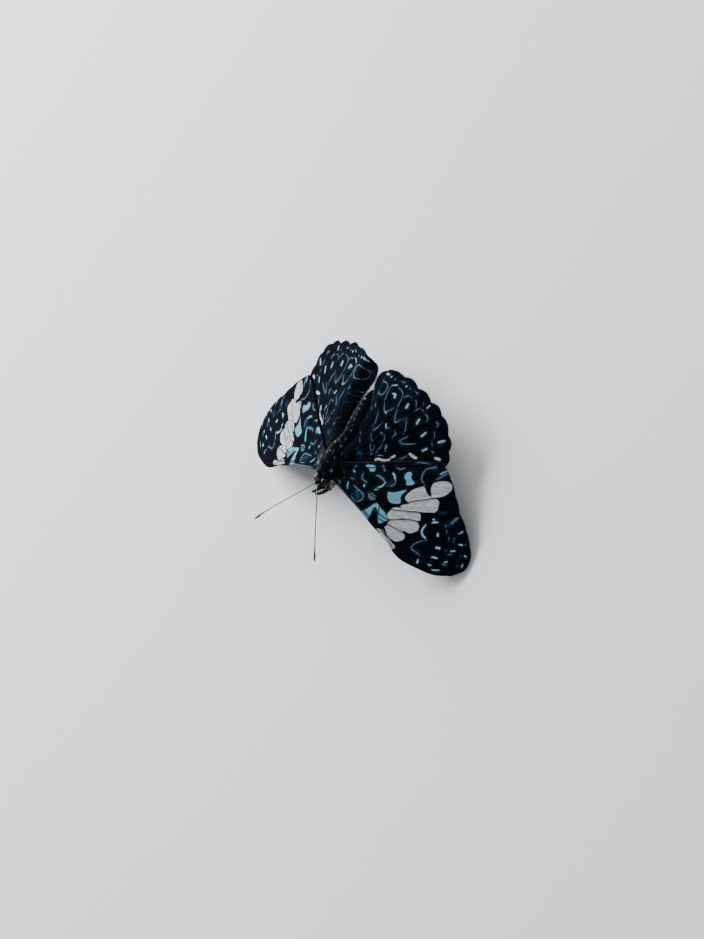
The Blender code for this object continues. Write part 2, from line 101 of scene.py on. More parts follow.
# %% Camera
CAMERA_RIGHT = Vector((0.5317, 0.4185, -0.7363)).normalized()
CAMERA_BACK = Vector((0.7653, 0.1349, 0.6293)).normalized()
CAMERA_UP = CAMERA_BACK.cross(CAMERA_RIGHT).normalized()
CAMERA_DISTANCE = 1.2
PHOTO_HEIGHT_PX = 939
PX_PER_MM = 4.796
AIM_RIGHT = 5.33            # millimetres from the wing roots to the middle of the picture
AIM_DOWN = 0.84
SENSOR = 36.0
wing_roots = Vector((0.0, ROOT_Y, STAND_HEIGHT)) * MM
aim = wing_roots + CAMERA_RIGHT * AIM_RIGHT * MM - CAMERA_UP * AIM_DOWN * MM
bpy.ops.object.camera_add()
camera = bpy.context.object
camera.name = "camera"
turn = Matrix((CAMERA_RIGHT, CAMERA_UP, CAMERA_BACK)).transposed().to_4x4()
camera.matrix_world = Matrix.Translation(aim + CAMERA_BACK * CAMERA_DISTANCE) @ turn
camera.data.sensor_fit = "VERTICAL"
camera.data.sensor_height = SENSOR
camera.data.lens = SENSOR * CAMERA_DISTANCE / MM / (PHOTO_HEIGHT_PX / PX_PER_MM)
camera.data.clip_start = 0.01
bpy.context.scene.camera = camera
print("lens", round(camera.data.lens, 1), "mm, camera at", camera.location[:])

# %% [markdown]
# Large soft lamps near a small insect act like the sky on a shady day. The first is low
# and on the far side, so that the right wings, which droop towards it, are the brighter
# ones, and the raised veins and the fur catch a grazing light. The floor is plain and
# pale.

# %% Floor and lights
FLOOR_SIZE = 4.0
SKY_COLOUR = (0.8, 0.86, 0.92, 1.0)
SKY_STRENGTH = 0.5


def hide_choice():
    """Leave nothing selected, because an operator acts on all that is."""
    bpy.ops.object.select_all(action="DESELECT")


def lamp(name, spot, size, watts, colour):
    """A square lamp at a spot in metres, facing the insect."""
    bpy.ops.object.light_add(type="AREA", location=spot)
    light = bpy.context.object
    light.name = name
    light.data.size = size
    light.data.energy = watts
    light.data.color = colour
    light.rotation_euler = (wing_roots - Vector(spot)).to_track_quat("-Z", "Y").to_euler()


hide_choice()
bpy.ops.mesh.primitive_plane_add(size=FLOOR_SIZE)
floor = bpy.context.object
floor.name = "floor"
lamp("sky_lamp", (-0.83, 0.15, 0.42), 0.7, 50.0, (0.93, 0.97, 1.0))
lamp("front_lamp", (0.75, -0.45, 0.6), 0.6, 1.6, (1.0, 0.98, 0.95))
lamp("low_lamp", (0.35, 0.75, 0.35), 0.5, 3.0, (0.97, 0.98, 1.0))
world = bpy.context.scene.world or bpy.data.worlds.new("world")
bpy.context.scene.world = world
world.use_nodes = True
world.node_tree.nodes["Background"].inputs["Color"].default_value = SKY_COLOUR
world.node_tree.nodes["Background"].inputs["Strength"].default_value = SKY_STRENGTH

# %% [markdown]
# Materials are built from nodes. One function turns a colour as a screen shows it into
# the linear light that the shader wants. Another adds a node, fills its inputs with
# numbers or with the outputs of other nodes, and hands back its own output, so that a
# pattern reads like a formula. The settings used most often have short names of their
# own. The floor is matt paper, a little uneven in tone.

# %% Helpers for materials
SUM = {"operation": "ADD"}
TIMES = {"operation": "MULTIPLY"}
LESS = {"operation": "SUBTRACT"}
SMALLER = {"operation": "MINIMUM"}
LARGER = {"operation": "MAXIMUM"}
EASED = {"interpolation_type": "SMOOTHSTEP"}


def tint(code):
    """The linear colour of an sRGB hex code."""
    parts = [int(code[i:i + 2], 16) / 255 for i in (1, 3, 5)]
    linear = [part / 12.92 if part <= 0.04045 else ((part + 0.055) / 1.055) ** 2.4 for part in parts]
    return (*linear, 1.0)


def add_node(tree, kind, *values, out=0, **named):
    """Add a node and return its output called out.

    The values fill its inputs in order. A name in small letters is a setting, and one
    with a capital is an input.
    """
    node = tree.nodes.new("ShaderNode" + kind)
    inputs = dict(enumerate(values))
    for name, value in named.items():
        if name[0].islower():
            setattr(node, name, value)
        else:
            inputs[name.replace("_", " ")] = value
    for key, value in inputs.items():
        if isinstance(value, bpy.types.NodeSocket):
            tree.links.new(value, node.inputs[key])
        else:
            node.inputs[key].default_value = value
    return node.outputs[out]


def new_material(name, **values):
    """A material with plain values on its Principled shader; also its add_node and its shader."""
    made = bpy.data.materials.new(name)
    made.use_nodes = True
    shader = made.node_tree.nodes["Principled BSDF"]
    for key, value in values.items():
        shader.inputs[key.replace("_", " ")].default_value = value
    return made, partial(add_node, made.node_tree), shader


def finish(made, shader, **sockets):
    """Link a material's patterns to its shader's inputs."""
    for name, socket in sockets.items():
        made.node_tree.links.new(socket, shader.inputs[name.replace("_", " ")])


paper, add, shader = new_material("matt_paper", Roughness=0.9)
shade = add("TexNoise", add("TexCoord", out="Object"), Scale=6.0)
finish(paper, shader, Base_Color=add("MapRange", shade, To_Min=0.53, To_Max=0.57))
floor.data.materials.append(paper)
print("floor finish", paper.name)

# %% [markdown]
# Every new piece starts as Blender's own grid, whose points a small function then moves
# onto the wanted shape: a wing is a grid stretched between its four edges, and a leg or
# the body is a grid rolled up into a tube. Merging the doubled points closes the seam
# and the tips.


# %% Grids moved onto a shape
def read_points(obj, what="co"):
    """The place of each point of a mesh, one a row, or its normal."""
    flat = np.empty(len(obj.data.vertices) * 3)
    obj.data.vertices.foreach_get(what, flat)
    return flat.reshape(-1, 3)


def move_points(obj, places):
    """Put each point of a mesh at its place, given one a row."""
    obj.data.vertices.foreach_set("co", places.ravel())


def new_grid(name, columns, rows):
    """A grid of that many faces; also where its points lie across it, s and t, 0 to 1."""
    hide_choice()
    bpy.ops.mesh.primitive_grid_add(x_subdivisions=columns, y_subdivisions=rows, size=1.0)
    obj = bpy.context.object
    obj.name = name
    s, t, _ = (read_points(obj) + 0.5).T
    return obj, s, t


def bent_grid(name, columns, rows, shape):
    """A grid with each of its points put where shape(s, t) says."""
    obj, s, t = new_grid(name, columns, rows)
    move_points(obj, shape(s, t))
    obj.data.update()
    return obj


def close_seams(obj, gap=1e-6):
    """Merge points closer than the gap, in metres, if there is one; turn all faces outwards."""
    bpy.context.view_layer.objects.active = obj
    bpy.ops.object.mode_set(mode="EDIT")
    bpy.ops.mesh.select_all(action="SELECT")
    if gap:
        bpy.ops.mesh.remove_doubles(threshold=gap)
    bpy.ops.mesh.normals_make_consistent(inside=False)
    bpy.ops.object.mode_set(mode="OBJECT")


def column(obj, name, values):
    """Give each point of a mesh a number, which a material can read by that name."""
    mesh = obj.data
    layer = mesh.attributes.get(name) or mesh.attributes.new(name, "FLOAT", "POINT")
    layer.data.foreach_set("value", np.asarray(values, np.float32))


def points_of(obj):
    """The points of a mesh in the insect's millimetres: u, v and z."""
    x, y, z = (read_points(obj) / MM).T
    return np.stack([x, ROOT_Y - y, z - STAND_HEIGHT], axis=1)


print("grids ready")

# %% [markdown]
# The wings hang on the same edges, veins and arch as the solids. A mark's place on the
# wing laid flat is u and v; the drooping wing reaches a little less far sideways.

# %% Wing outlines
WING_ROOT_U = 2.75
SPREAD = 0.953
FORE_SCALLOP = 0.25
HIND_SCALLOP = 0.75
FORE_FRONT = [(2.0, 1.3), (5.4, 2.5), (9.0, 3.3), (13.5, 4.4), (18.0, 5.9), (21.6, 6.9),
              (25.2, 8.5), (28.0, 9.1), (32.4, 8.9), (36.2, 8.4), (39.9, 6.8)]
FORE_TIP = [(39.9, 6.8), (41.8, 4.8), (42.4, 3.4), (42.3, 2.0)]
FORE_OUTER = [(42.3, 2.0), (41.1, -0.4), (38.8, -3.1), (36.0, -5.3), (33.4, -8.0),
              (30.4, -10.7), (27.0, -12.7)]
FORE_INNER = [(27.0, -12.7), (22.5, -11.1), (18.0, -9.0), (13.5, -6.7), (9.0, -4.7),
              (5.6, -3.1), (2.0, -2.0)]
HIND_FRONT = [(2.0, -1.5), (6.0, -1.8), (11.0, -2.4), (18.0, -5.0), (24.0, -8.5), (27.3, -12.0)]
HIND_OUTER = [(27.3, -12.0), (26.9, -15.3), (25.4, -18.4), (22.1, -21.3), (18.3, -22.5),
              (13.7, -23.7), (9.2, -24.4), (3.4, -23.3)]
HIND_INNER = [(3.4, -23.3), (1.9, -23.1), (0.8, -22.4), (0.3, -21.2), (0.35, -19.9), (0.9, -18.5),
              (1.8, -16.4), (2.35, -14.0), (2.55, -11.0), (2.6, -8.0), (2.0, -4.8)]


def scalloped(ends, depth, step=0.25):
    """An outer edge that swells by depth between each pair of vein ends."""
    edge = [np.array(ends[0], float)]
    for start, end in zip(np.array(ends), np.array(ends)[1:]):
        run = end - start
        outward = np.array((-run[1], run[0])) / np.linalg.norm(run)
        parts = max(3, round(np.linalg.norm(run) / step))
        for i in range(1, parts + 1):
            t = i / parts
            edge.append(start + run * t + outward * depth * math.sin(math.pi * t))
    return np.array(edge)


def along(line, fraction):
    """Points of a line at fractions of its length."""
    steps = np.r_[0.0, np.cumsum(np.linalg.norm(np.diff(line, axis=0), axis=1))]
    wanted = np.asarray(fraction) * steps[-1]
    return np.stack([np.interp(wanted, steps, line[:, k]) for k in range(line.shape[1])], axis=1)


print("forewing reaches", FORE_OUTER[0][0], "mm from the middle when laid flat")

# %% [markdown]
# Seen from the front the wings arch down towards their tips. The forewing's front edge
# rises near the body and its rear edge sinks onto the hindwing. The hindwing starts
# lower, rises behind the forewing, and folds down beside the abdomen.

# %% Arch of the wings
ROOT_LEVEL = -0.54
DROOP_SLOPE = -0.16
DROOP_CURVE = -0.0030
FORE_LIFT = 0.35            # rise of the forewing's rear half over the hindwing
LIFT_FROM = 3.0             # v where that rise begins
LIFT_RUN = 6.0
FRONT_RISE = 0.7            # rise of the forewing's front edge near the body
FRONT_RISE_FROM = 0.5
FRONT_RISE_RUN = 3.0
FRONT_FADE_FROM = 12.0      # u where the rise of the front edge begins to fade
FRONT_FADE_RUN = 14.0
REAR_DROP = 0.22            # fall of the forewing's last few millimetres onto the hindwing
REAR_DROP_RUN = 6.0
HIND_DROP = 0.34            # drop of the hindwing's front under the forewing
HIND_RISE = 0.74            # rise of the hindwing behind the forewing
HIND_RISE_RUN = 9.0
FOLD_FROM = -3.8            # v where the folds by the abdomen begin
FOLD_RUN = 5.0
FOLDS = [(1.0, 1.2, 4.2), (1.15, 2.3, 2.2)]     # depth, u where deepest, width


def droop(u):
    """Level of both wings' common arch at u."""
    out = WING_ROOT_U + (u - WING_ROOT_U) * SPREAD
    return ROOT_LEVEL + DROOP_SLOPE * out + DROOP_CURVE * out * out


def fore_rear(u):
    """Where the forewing's inner edge lies at u."""
    return np.interp(u, *zip(*FORE_INNER[::-1]))


def fore_level(u, v):
    """Middle of the forewing's sheet: front edge raised near the body, inner edge near the hindwing."""
    near_body = 1.0 - ease((u - FRONT_FADE_FROM) / FRONT_FADE_RUN)
    front = ease((v - FRONT_RISE_FROM) / FRONT_RISE_RUN) * near_body
    rear = ease((fore_rear(u) + REAR_DROP_RUN - v) / REAR_DROP_RUN)
    return droop(u) + FORE_LIFT * ease((LIFT_FROM - v) / LIFT_RUN) + FRONT_RISE * front - REAR_DROP * rear


def hind_level(u, v):
    """Middle of the hindwing's sheet, low under the forewing and folded down by the body."""
    behind = ease((fore_rear(u) - v) / HIND_RISE_RUN)
    fold = sum(depth * (1.0 - ease((u - deepest) / width)) for depth, deepest, width in FOLDS)
    return droop(u) - HIND_DROP + HIND_RISE * behind - fold * ease((FOLD_FROM - v) / FOLD_RUN)


print("a forewing's tip lies", round(-float(droop(FORE_TIP[-1][0])), 1), "mm below the wing roots")

# %% [markdown]
# The veins are stiff tubes that hold the membrane out. Each is listed from its root or
# fork out to the edge, as in the solids, and will be raised out of both faces.

# %% Veins
FORE_VEINS = [
    [(2.9, 1.2), (9.0, 2.8), (14.0, 4.0), (20.5, 6.5)],
    [(2.9, 0.7), (9.0, 2.3), (13.5, 3.5), (17.8, 4.9), (21.5, 6.1), (26.8, 8.9)],
    [(17.8, 4.9), (24.0, 6.4), (31.0, 6.9), (37.0, 6.3), (41.9, 4.5)],
    [(24.0, 6.4), (28.5, 7.7), (32.8, 8.8)],
    [(31.0, 6.9), (36.8, 4.7), (42.3, 2.0)],
    [(17.8, 4.9), (18.4, 3.9), (22.5, 3.9), (28.0, 3.7), (34.5, 2.1), (41.1, -0.4)],
    [(18.4, 3.9), (18.1, 3.0), (21.0, 3.0), (25.0, 1.0), (31.0, -0.6), (38.8, -3.1)],
    [(18.1, 3.0), (17.2, 1.0), (20.5, 0.8), (26.0, -1.1), (31.0, -2.9), (36.0, -5.3)],
    [(2.9, -0.2), (7.0, 0.2), (11.0, 0.1), (15.0, 0.4), (17.2, 1.0)],
    [(15.0, 0.4), (20.5, -0.3), (25.2, -3.2), (29.7, -6.0), (33.4, -8.0)],
    [(11.0, 0.1), (15.3, -1.6), (20.0, -4.0), (25.0, -7.0), (30.4, -10.7)],
    [(2.9, -1.0), (9.0, -3.6), (14.4, -6.0), (19.8, -8.8), (27.0, -12.7)],
]
HIND_VEINS = [
    [(2.9, -2.8), (10.8, -4.2), (18.0, -6.6), (24.0, -9.9), (27.3, -12.0)],
    [(2.9, -3.4), (8.6, -6.3), (18.0, -9.5), (23.4, -12.5), (26.9, -15.3)],
    [(8.6, -6.3), (9.4, -7.6), (16.2, -11.7), (21.6, -15.1), (25.4, -18.4)],
    [(9.4, -7.6), (9.6, -8.9), (13.5, -12.8), (18.0, -17.0), (22.1, -21.3)],
    [(9.6, -8.9), (8.9, -9.6), (11.7, -14.0), (15.0, -18.4), (18.3, -22.5)],
    [(2.9, -4.0), (5.2, -6.0), (7.2, -8.4), (8.9, -9.6)],
    [(7.2, -8.4), (9.0, -13.5), (11.1, -18.4), (13.7, -23.7)],
    [(2.9, -4.6), (5.6, -11.7), (7.2, -18.2), (9.2, -24.4)],
    [(2.9, -5.0), (3.5, -12.0), (3.6, -18.0), (3.4, -23.3)],
]
print(len(FORE_VEINS), "veins in a forewing and", len(HIND_VEINS), "in a hindwing")

# %% [markdown]
# The pattern is drawn as strokes and patches, the way a painter would lay it on a flat
# wing. For each point of the wing, the script measures how far it lies inside or outside
# the nearest stroke. That distance changes smoothly, so the material can draw a crisp
# edge from it even between the points of the mesh.

# %% Distances to strokes and patches
FAR = 3.0                   # a point farther from a mark than this isn't measured
STROKE_STEP = 0.5


def stroke(*spots):
    """A line with round ends through spots of (u, v, width)."""
    return "stroke", np.array(spots, float)


def patch(*corners):
    """A filled shape with a smooth edge through its corners."""
    return "patch", np.array(corners, float)


def hairline(line):
    """A line of (u, v) with a width of 0 added."""
    return np.pad(line, ((0, 0), (0, 1)))


def from_line(points, line):
    """Distance from each point to a line of (u, v, width), less half its width there."""
    best = np.full(len(points), FAR)
    for start, end in zip(line, line[1:]):
        run = end[:2] - start[:2]
        t = np.clip((points - start[:2]) @ run / max(run @ run, 1e-9), 0.0, 1.0)
        gap = np.hypot(*(points - start[:2] - t[:, None] * run).T)
        best = np.minimum(best, gap - (start[2] + t * (end[2] - start[2])) / 2)
    return best


def inside(points, outline):
    """Which points lie within the outline."""
    within = np.zeros(len(points), bool)
    u, v = points.T
    for (u1, v1), (u2, v2) in zip(outline, np.roll(outline, -1, axis=0)):
        if v1 != v2:
            crossed = ((v1 > v) != (v2 > v)) & (u < u1 + (v - v1) * (u2 - u1) / (v2 - v1))
            within ^= crossed
    return within


def from_shape(points, shape):
    """Distance from each point to a stroke's or a patch's edge, below 0 inside it."""
    kind, spots = shape
    if kind == "stroke":
        spots = smooth(spots, STROKE_STEP) if len(spots) > 2 else spots
    else:
        spots = smooth(np.vstack([spots, spots[:1]]), STROKE_STEP)
    low = spots[:, :2].min(axis=0) - FAR
    high = spots[:, :2].max(axis=0) + FAR
    near = np.flatnonzero(((points > low) & (points < high)).all(axis=1))
    result = np.full(len(points), FAR)
    if kind == "patch":
        gap = from_line(points[near], hairline(spots))
        result[near] = np.where(inside(points[near], spots), -gap, gap)
    else:
        result[near] = from_line(points[near], spots)
    return result


def nearest(points, shapes):
    """Distance to the nearest of several shapes."""
    result = np.full(len(points), FAR)
    for shape in shapes:
        result = np.minimum(result, from_shape(points, shape))
    return result


def vein_gap(flat, veins):
    """Distance from each point of the flat wing to the middle of the nearest vein."""
    gap = np.full(len(flat), FAR)
    for vein in veins:
        gap = np.minimum(gap, from_line(flat, hairline(smooth(vein, 1.0))))
    return gap


print("distances are measured up to", FAR, "mm from each mark")

# %% [markdown]
# On the forewing's upper side, fine blue-grey lines and spots lie on black. They curl
# into rings near the body and loosen into a broken cream band past the middle, beyond
# which the tip is black with small blue marks. All places are millimetres on the wing
# laid flat.

# %% Forewing pattern, upper side
fore_light = [
    stroke((4.6, 1.3, 0.47), (5.3, 1.8, 0.40)),
    stroke((7.0, 0.6, 0.28), (7.4, 1.4, 0.35), (7.9, 1.9, 0.30)),
    stroke((7.4, -2.0, 0.48), (7.5, -2.0, 0.43)),
    stroke((11.5, -0.6, 0.50), (11.6, -0.3, 0.47)),
    patch((9.5, -4.4), (10.3, -4.8), (11.4, -5.2), (12.4, -4.9), (12.4, -4.2), (11.3, -3.7),
          (10.7, -4.1), (10.1, -4.1)),
    stroke((16.4, -3.4, 0.27), (16.1, -2.6, 0.40), (15.6, -1.9, 0.50), (14.9, -1.2, 0.50),
           (14.5, -0.9, 0.27)),
    stroke((17.1, -5.8, 0.40), (17.8, -5.5, 0.57), (18.2, -5.1, 0.47)),
    patch((18.0, -2.0), (19.1, -2.3), (20.0, -2.8), (20.8, -3.4), (21.6, -4.0), (22.2, -4.3),
          (21.9, -3.7), (21.5, -3.0), (21.5, -2.3), (21.8, -1.8), (22.0, -1.1), (20.9, -0.6),
          (19.8, -0.3), (19.0, -0.4), (18.3, -1.0), (18.1, -1.6)),
    patch((20.0, -6.9), (20.3, -7.5), (21.0, -7.9), (21.6, -7.7), (21.7, -7.0), (22.3, -6.6),
          (23.1, -6.5), (23.0, -5.8), (22.2, -5.3), (21.4, -5.2), (21.0, -5.9), (20.2, -6.2)),
    patch((14.1, 4.3), (14.9, 3.6), (15.5, 2.8), (15.8, 2.0), (16.3, 1.4), (16.7, 1.4),
          (16.7, 2.0), (16.4, 2.5), (16.4, 3.2), (16.5, 3.9), (16.5, 4.6), (16.4, 5.2),
          (15.5, 5.0), (14.7, 4.7)),
    patch((16.3, 1.4), (16.7, 1.3), (17.4, 1.6), (18.4, 1.9), (19.3, 2.1), (20.0, 2.6),
          (21.0, 3.1), (20.5, 3.6), (20.0, 4.2), (19.2, 4.7), (18.7, 4.2), (18.2, 3.5),
          (17.9, 2.8), (17.3, 2.3), (16.6, 2.1)),
    stroke((29.8, 0.0, 0.27), (29.5, 0.9, 0.42), (29.5, 1.8, 0.47), (30.0, 2.3, 0.43),
           (30.8, 2.5, 0.40)),
    stroke((30.9, -1.7, 0.28), (31.3, -1.8, 0.32)),
    stroke((31.0, -1.0, 0.25), (31.7, -1.4, 0.40), (32.4, -1.7, 0.23)),
    stroke((33.3, 0.5, 0.53), (33.4, 0.8, 0.53)),
    stroke((34.2, 3.1, 0.47), (34.9, 2.9, 0.50)),
    stroke((34.2, 5.3, 0.32), (34.7, 5.1, 0.37), (35.4, 5.0, 0.33)),
    stroke((31.5, 7.2, 0.40), (31.6, 7.8, 0.47)),
    stroke((34.2, 7.0, 0.38), (34.8, 6.8, 0.38)),
    stroke((35.4, 7.6, 0.20), (36.2, 7.3, 0.27), (37.0, 6.9, 0.20)),
    stroke((37.8, -1.7, 0.20), (38.4, -2.5, 0.30)),
    stroke((38.8, 0.2, 0.30), (39.5, 0.0, 0.37)),
    stroke((40.9, 1.7, 0.33), (41.3, 1.7, 0.30)),
    stroke((37.3, 5.0, 0.25), (37.8, 4.5, 0.32)),
    stroke((37.6, 2.3, 0.27), (38.4, 1.8, 0.28)),
    stroke((41.3, 4.1, 0.27), (41.3, 3.5, 0.28)),
    stroke((29.1, -11.9, 0.22), (28.2, -11.1, 0.33), (27.9, -10.6, 0.33)),
]
fore_line = [
    stroke((4.4, -1.1, 0.43), (4.9, -0.7, 0.37)),
    stroke((5.4, 0.1, 0.30), (5.6, 0.2, 0.27)),
    stroke((7.4, -0.4, 0.30), (8.1, -0.6, 0.25)),
    stroke((7.3, -3.2, 0.23), (7.0, -2.7, 0.28), (7.0, -2.2, 0.25)),
    stroke((8.9, 0.6, 0.23), (10.0, 0.8, 0.33), (11.2, 1.0, 0.32), (12.2, 1.2, 0.30),
           (12.7, 1.6, 0.30), (12.7, 2.2, 0.32), (12.4, 2.8, 0.32), (11.9, 3.2, 0.30),
           (11.0, 3.1, 0.30), (10.1, 2.8, 0.30), (9.8, 2.4, 0.20)),
    stroke((10.0, -2.6, 0.25), (9.9, -2.0, 0.30), (10.3, -1.6, 0.30), (11.1, -1.4, 0.32),
           (11.8, -1.4, 0.33)),
    stroke((13.8, -6.0, 0.43), (14.5, -5.7, 0.50), (14.8, -5.4, 0.37)),
    stroke((17.1, -7.3, 0.30), (18.2, -7.3, 0.37), (19.2, -8.0, 0.30)),
    stroke((13.4, -3.6, 0.22), (13.9, -3.9, 0.33), (14.6, -3.8, 0.53), (15.4, -3.7, 0.47),
           (16.4, -3.4, 0.30)),
    stroke((18.2, -5.1, 0.33), (18.6, -4.7, 0.32), (18.7, -4.1, 0.30), (18.3, -3.5, 0.27),
           (18.0, -3.1, 0.18)),
    patch((13.2, 0.4), (13.9, 0.0), (14.8, 0.0), (15.7, 0.3), (15.6, 0.9), (14.6, 1.4),
          (13.8, 1.2)),
    stroke((31.3, 2.8, 0.28), (30.4, 3.4, 0.23), (29.7, 4.0, 0.23), (29.0, 4.9, 0.23),
           (28.8, 5.7, 0.28), (29.2, 6.0, 0.30), (29.9, 6.0, 0.27), (30.6, 6.1, 0.27),
           (31.4, 6.2, 0.22)),
    stroke((35.3, -2.8, 0.40), (35.6, -3.6, 0.53), (36.1, -4.5, 0.37)),
    stroke((34.3, -1.8, 0.42), (34.4, -1.6, 0.37)),
    stroke((34.9, -1.2, 0.23), (35.1, -0.7, 0.22)),
    stroke((40.1, -0.4, 0.28), (40.2, -0.3, 0.27)),
    stroke((37.0, 5.5, 0.23), (37.9, 5.3, 0.25)),
    stroke((37.3, 3.2, 0.22), (38.1, 2.7, 0.22)),
    stroke((37.3, -0.4, 0.28), (37.3, -0.3, 0.27)),
    stroke((37.3, 0.2, 0.25), (37.4, 0.3, 0.23)),
    stroke((36.0, -0.1, 0.20), (36.2, 0.5, 0.20)),
    stroke((36.4, 2.7, 0.20), (36.6, 2.7, 0.18)),
    stroke((40.2, 4.2, 0.20), (40.4, 4.3, 0.18)),
    stroke((40.0, 2.1, 0.18), (40.2, 2.1, 0.18)),
    stroke((26.0, -11.4, 0.37), (25.1, -10.7, 0.25), (24.3, -10.1, 0.25), (24.0, -9.4, 0.28),
           (24.0, -8.6, 0.35), (24.2, -7.9, 0.32), (24.6, -7.4, 0.30), (25.3, -7.2, 0.27),
           (25.8, -6.8, 0.20)),
    stroke((29.3, -11.4, 0.27), (28.6, -10.6, 0.35), (28.1, -9.8, 0.33), (27.6, -9.3, 0.23)),
    stroke((21.1, -10.1, 0.15), (22.0, -10.6, 0.20), (23.2, -11.0, 0.27), (24.7, -11.4, 0.25)),
    stroke((5.0, 2.25, 0.22), (9.0, 3.2, 0.26), (13.5, 4.3, 0.26), (16.5, 5.3, 0.18)),
]
fore_dull = [
    stroke((10.4, 1.5, 0.67), (11.5, 2.2, 0.75)),
    stroke((16.6, 2.8, 0.42), (17.3, 2.6, 0.42)),
    stroke((25.7, -11.1, 0.53), (26.3, -11.2, 0.42)),
    stroke((28.0, -10.5, 0.58), (29.0, -11.2, 0.58)),
    stroke((17.3, -3.1, 0.50), (17.8, -4.2, 0.42)),
    stroke((34.9, -2.5, 0.58), (36.0, -3.9, 0.58)),
    stroke((31.9, -3.5, 0.42), (33.0, -4.0, 0.42)),
]
fore_cream = [
    patch((22.7, -2.6), (22.8, -3.4), (23.3, -4.4), (24.0, -5.3), (24.7, -5.9), (25.5, -6.5),
          (26.0, -6.4), (26.5, -6.0), (27.2, -5.5), (28.1, -5.4), (28.4, -5.3), (27.2, -4.6),
          (26.0, -3.7), (24.9, -2.8), (24.1, -2.3), (23.4, -2.4)),
    patch((27.4, -7.8), (27.6, -8.5), (28.5, -9.1), (29.8, -9.7), (30.7, -9.9), (31.3, -9.7),
          (31.8, -9.1), (31.6, -8.2), (31.0, -7.3), (30.2, -6.5), (29.2, -5.9), (28.4, -5.6),
          (28.2, -6.2), (27.7, -6.7), (27.5, -7.3)),
    patch((22.4, -0.7), (23.1, -1.3), (24.2, -2.0), (25.0, -2.6), (26.2, -3.5), (27.3, -4.3),
          (28.6, -5.1), (29.8, -5.6), (30.5, -5.3), (30.7, -4.6), (30.9, -3.9), (30.6, -3.3),
          (29.6, -2.8), (28.3, -2.2), (27.3, -1.8), (26.1, -1.5), (24.6, -1.0), (23.4, -0.7)),
    patch((20.4, 1.3), (20.7, 0.6), (21.7, 0.0), (23.0, -0.3), (24.5, -0.7), (25.8, -1.0),
          (27.1, -1.4), (27.8, -0.9), (28.0, -0.2), (27.4, 0.2), (26.1, 0.7), (25.2, 0.9),
          (24.0, 1.1), (23.1, 1.6), (22.4, 2.2), (21.4, 2.9), (20.8, 2.7), (20.2, 2.3)),
    patch((21.2, 3.9), (21.5, 3.1), (22.5, 2.4), (23.3, 2.0), (24.5, 1.5), (25.7, 1.0),
          (27.0, 0.6), (27.9, 0.7), (28.4, 1.2), (28.4, 1.9), (27.7, 2.6), (26.8, 3.2),
          (25.6, 3.3), (24.4, 3.4), (23.1, 3.5), (21.9, 3.7)),
    patch((21.0, 4.8), (21.6, 4.0), (22.7, 3.8), (24.0, 3.7), (25.1, 3.8), (25.9, 4.2),
          (26.2, 4.7), (25.8, 5.4), (24.9, 6.0), (23.9, 6.3), (22.9, 6.2), (21.9, 5.5)),
    patch((19.3, 6.0), (20.6, 5.6), (22.0, 6.2), (23.6, 6.9), (25.0, 7.3), (24.6, 8.0), (23.0, 7.4),
          (21.0, 6.7)),
]
print(sum(map(len, (fore_light, fore_line, fore_dull, fore_cream))), "marks on a forewing")

# %% [markdown]
# The hindwing carries a chain of eyespots along its margin: a pale pupil in a black
# field, ringed by a droplet of thin grey-blue line. Short marks fill the wing's middle,
# and small dashes run along the scalloped edge.

# %% Hindwing pattern, upper side
hind_light = [
    stroke((8.1, -20.2, 0.27), (9.0, -20.3, 0.50), (9.1, -19.7, 0.47)),
    stroke((13.2, -19.9, 0.43), (13.1, -19.1, 0.50)),
    stroke((17.5, -18.3, 0.45), (17.3, -17.3, 0.45)),
    stroke((20.3, -16.6, 0.42), (19.6, -15.5, 0.47)),
    stroke((21.8, -13.7, 0.45), (21.0, -12.9, 0.40)),
    stroke((3.5, -23.1, 0.22), (4.6, -23.2, 0.40), (5.2, -23.3, 0.30)),
    stroke((5.9, -23.0, 0.33), (6.0, -23.2, 0.33)),
    stroke((7.1, -21.6, 0.20), (7.9, -22.0, 0.27), (8.7, -22.3, 0.20)),
    stroke((10.7, -22.9, 0.37), (10.8, -23.0, 0.37)),
    stroke((18.0, -21.2, 0.32), (18.4, -21.9, 0.33)),
    stroke((23.9, -16.1, 0.38), (24.7, -16.7, 0.47), (25.3, -17.1, 0.27)),
    stroke((8.6, -16.1, 0.40), (8.8, -16.0, 0.37)),
    stroke((10.0, -14.0, 0.30), (10.4, -13.4, 0.40)),
    stroke((12.1, -10.1, 0.28), (12.2, -9.4, 0.35), (12.3, -9.0, 0.25)),
]
